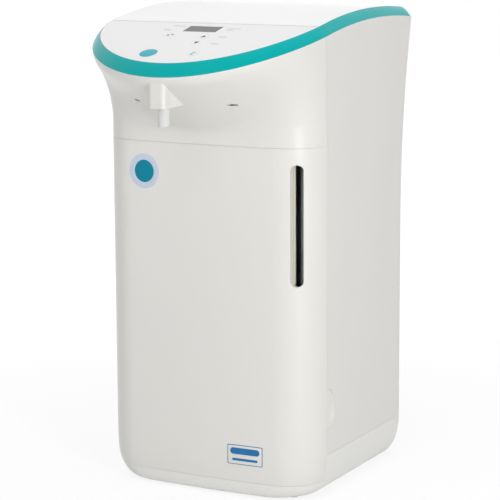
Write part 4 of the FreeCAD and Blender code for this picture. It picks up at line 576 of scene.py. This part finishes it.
def rocker_mark(name, bm, z_mm):
    """Lay a thin mark on the mains rocker, at a height."""
    spot, normal = surface("power_rocker", (ROCKER_X, BEHIND, z_mm * MM), (0, -1, 0))
    turned = normal.to_track_quat("Z", "Y").to_matrix().to_4x4()
    matrix = Matrix.Translation(spot + normal * LIFT) @ turned
    raise_plate(bm, ROCKER_MARK_THICKNESS)
    return keep(bm, name, lid_white, "power_rocker_body", matrix)


rocker_mark("rocker_on", rounded_bar(0.0009, 0.0042, 0.3), 174)
rocker_mark("rocker_off", ring(0.0014, 0.0021, 32), 161.5)

# %% [markdown]
# ## Floor, light and camera
#
# A product photograph on white: a big soft light overhead, an upright strip at the right that draws
# the bright band down the front corner, a soft light above the front, and weak fills round the rest.
# The floor and the world show white to the camera, to reflections and through clear pieces, but light
# the object with much less, so the pale plastic keeps its shading.

# %% Studio
def lamp(name, place, target, size, power):
    """A soft rectangular lamp that faces a point."""
    data = bpy.data.lights.new(name, "AREA")
    data.shape = "RECTANGLE"
    data.size, data.size_y = size
    data.energy = power
    holder = bpy.data.objects.new(name, data)
    bpy.context.scene.collection.objects.link(holder)
    holder.location = place
    holder.rotation_euler = (Vector(target) - Vector(place)).to_track_quat("-Z", "Y").to_euler()
    return holder


AIM = (0.0, 0.0, 0.3)
LAMPS = [
    ("top_box", (0.0, 0.2, 2.6), (2.0, 2.0), 29.4),
    ("front_top", (0.2, -2.4, 2.4), (1.4, 1.2), 12.4),
    ("corner_strip", (2.1, -1.5, 0.7), (0.5, 1.8), 35.5),
    ("left_front", (-1.6, -2.2, 1.6), (1.4, 1.4), 6.0),
    ("left_low", (-1.8, -1.6, 0.5), (1.2, 1.0), 4.1),
    ("right_front_low", (1.5, -2.4, 0.5), (1.2, 1.2), 1.7),
    ("right_side", (2.4, -0.2, 0.9), (1.4, 1.6), 1.3),
    ("left_side", (-2.4, -0.3, 0.9), (1.4, 1.6), 0.9),
    ("back_left", (-1.4, 1.6, 2.0), (1.4, 1.4), 1.4),
    ("back_fill", (-0.6, 2.6, 0.4), (1.6, 1.2), 7.5),
]
for name, place, size, power in LAMPS:
    lamp(name, place, AIM, size, power)


def seen_directly(nodes, links):
    """1 for rays that show the backdrop to the camera, a mirror or through glass, else 0."""
    path = nodes.new("ShaderNodeLightPath")
    total = path.outputs["Is Camera Ray"]
    for kind in ("Is Glossy Ray", "Is Transmission Ray"):
        add = nodes.new("ShaderNodeMath")
        add.operation = "ADD"
        add.use_clamp = True
        links.new(total, add.inputs[0])
        links.new(path.outputs[kind], add.inputs[1])
        total = add.outputs[0]
    return total


WORLD_LIGHT = 0.179
FLOOR_HALF = 6
FLOOR_SHADE = (0.86, 0.86, 0.86, 1)
FLOOR_GLOW = 1.06
world = bpy.data.worlds.new("studio")
bpy.context.scene.world = world
world.use_nodes = True
nodes, links = world.node_tree.nodes, world.node_tree.links
nodes.clear()
output = nodes.new("ShaderNodeOutputWorld")
dim = nodes.new("ShaderNodeBackground")
dim.inputs["Color"].default_value = (1.0, 1.0, 1.0, 1)
dim.inputs["Strength"].default_value = WORLD_LIGHT
bright = nodes.new("ShaderNodeBackground")
bright.inputs["Color"].default_value = (1, 1, 1, 1)
bright.inputs["Strength"].default_value = 1.0
pick = nodes.new("ShaderNodeMixShader")
links.new(seen_directly(nodes, links), pick.inputs[0])
links.new(dim.outputs[0], pick.inputs[1])
links.new(bright.outputs[0], pick.inputs[2])
links.new(pick.outputs[0], output.inputs[0])

floor_bm = bmesh.new()
bmesh.ops.create_grid(floor_bm, x_segments=1, y_segments=1, size=FLOOR_HALF)
floor_mesh = bpy.data.meshes.new("floor")
floor_bm.to_mesh(floor_mesh)
floor_bm.free()
floor = bpy.data.objects.new("floor", floor_mesh)
bpy.context.scene.collection.objects.link(floor)
paper = bpy.data.materials.new("white_paper")
paper.use_nodes = True
nodes, links = paper.node_tree.nodes, paper.node_tree.links
nodes.clear()
output = nodes.new("ShaderNodeOutputMaterial")
diffuse = nodes.new("ShaderNodeBsdfDiffuse")
diffuse.inputs["Color"].default_value = FLOOR_SHADE
glow = nodes.new("ShaderNodeEmission")
glow.inputs["Strength"].default_value = FLOOR_GLOW
place = nodes.new("ShaderNodeTexCoord")
reach = nodes.new("ShaderNodeVectorMath")
reach.operation = "LENGTH"
links.new(place.outputs["Object"], reach.inputs[0])
spread = nodes.new("ShaderNodeMapRange")
spread.interpolation_type = "SMOOTHSTEP"
for entry, value in (("From Min", 0.35), ("From Max", 1.2), ("To Min", 0.80), ("To Max", 1.0)):
    spread.inputs[entry].default_value = value
links.new(reach.outputs["Value"], spread.inputs["Value"])
share = nodes.new("ShaderNodeMath")
share.operation = "MULTIPLY"
links.new(seen_directly(nodes, links), share.inputs[0])
links.new(spread.outputs["Result"], share.inputs[1])
pick = nodes.new("ShaderNodeMixShader")
links.new(share.outputs[0], pick.inputs[0])
links.new(diffuse.outputs[0], pick.inputs[1])
links.new(glow.outputs[0], pick.inputs[2])
links.new(pick.outputs[0], output.inputs[0])
floor_mesh.materials.append(paper)

# %% Camera
CAMERA_PLACE = Vector((1.12298, -2.06889, 0.69907))
CAMERA_TARGET = Vector((0.01770, 0.0, 0.27969))
CAMERA_ROLL = -0.00475
LENS_MM = 143.52
SENSOR_MM = 36.0
ahead = (CAMERA_TARGET - CAMERA_PLACE).normalized()
across = ahead.cross(Vector((0, 0, 1))).normalized()
upward = across.cross(ahead)
right = across * math.cos(CAMERA_ROLL) + upward * math.sin(CAMERA_ROLL)
top = upward * math.cos(CAMERA_ROLL) - across * math.sin(CAMERA_ROLL)
lens = bpy.data.cameras.new("camera")
lens.lens = LENS_MM
lens.sensor_width = SENSOR_MM
lens.clip_end = 50
camera = bpy.data.objects.new("camera", lens)
bpy.context.scene.collection.objects.link(camera)
turn = Matrix((right, top, -ahead)).transposed().to_4x4()
camera.matrix_world = Matrix.Translation(CAMERA_PLACE) @ turn
bpy.context.scene.camera = camera
bpy.context.scene.view_settings.view_transform = "Standard"
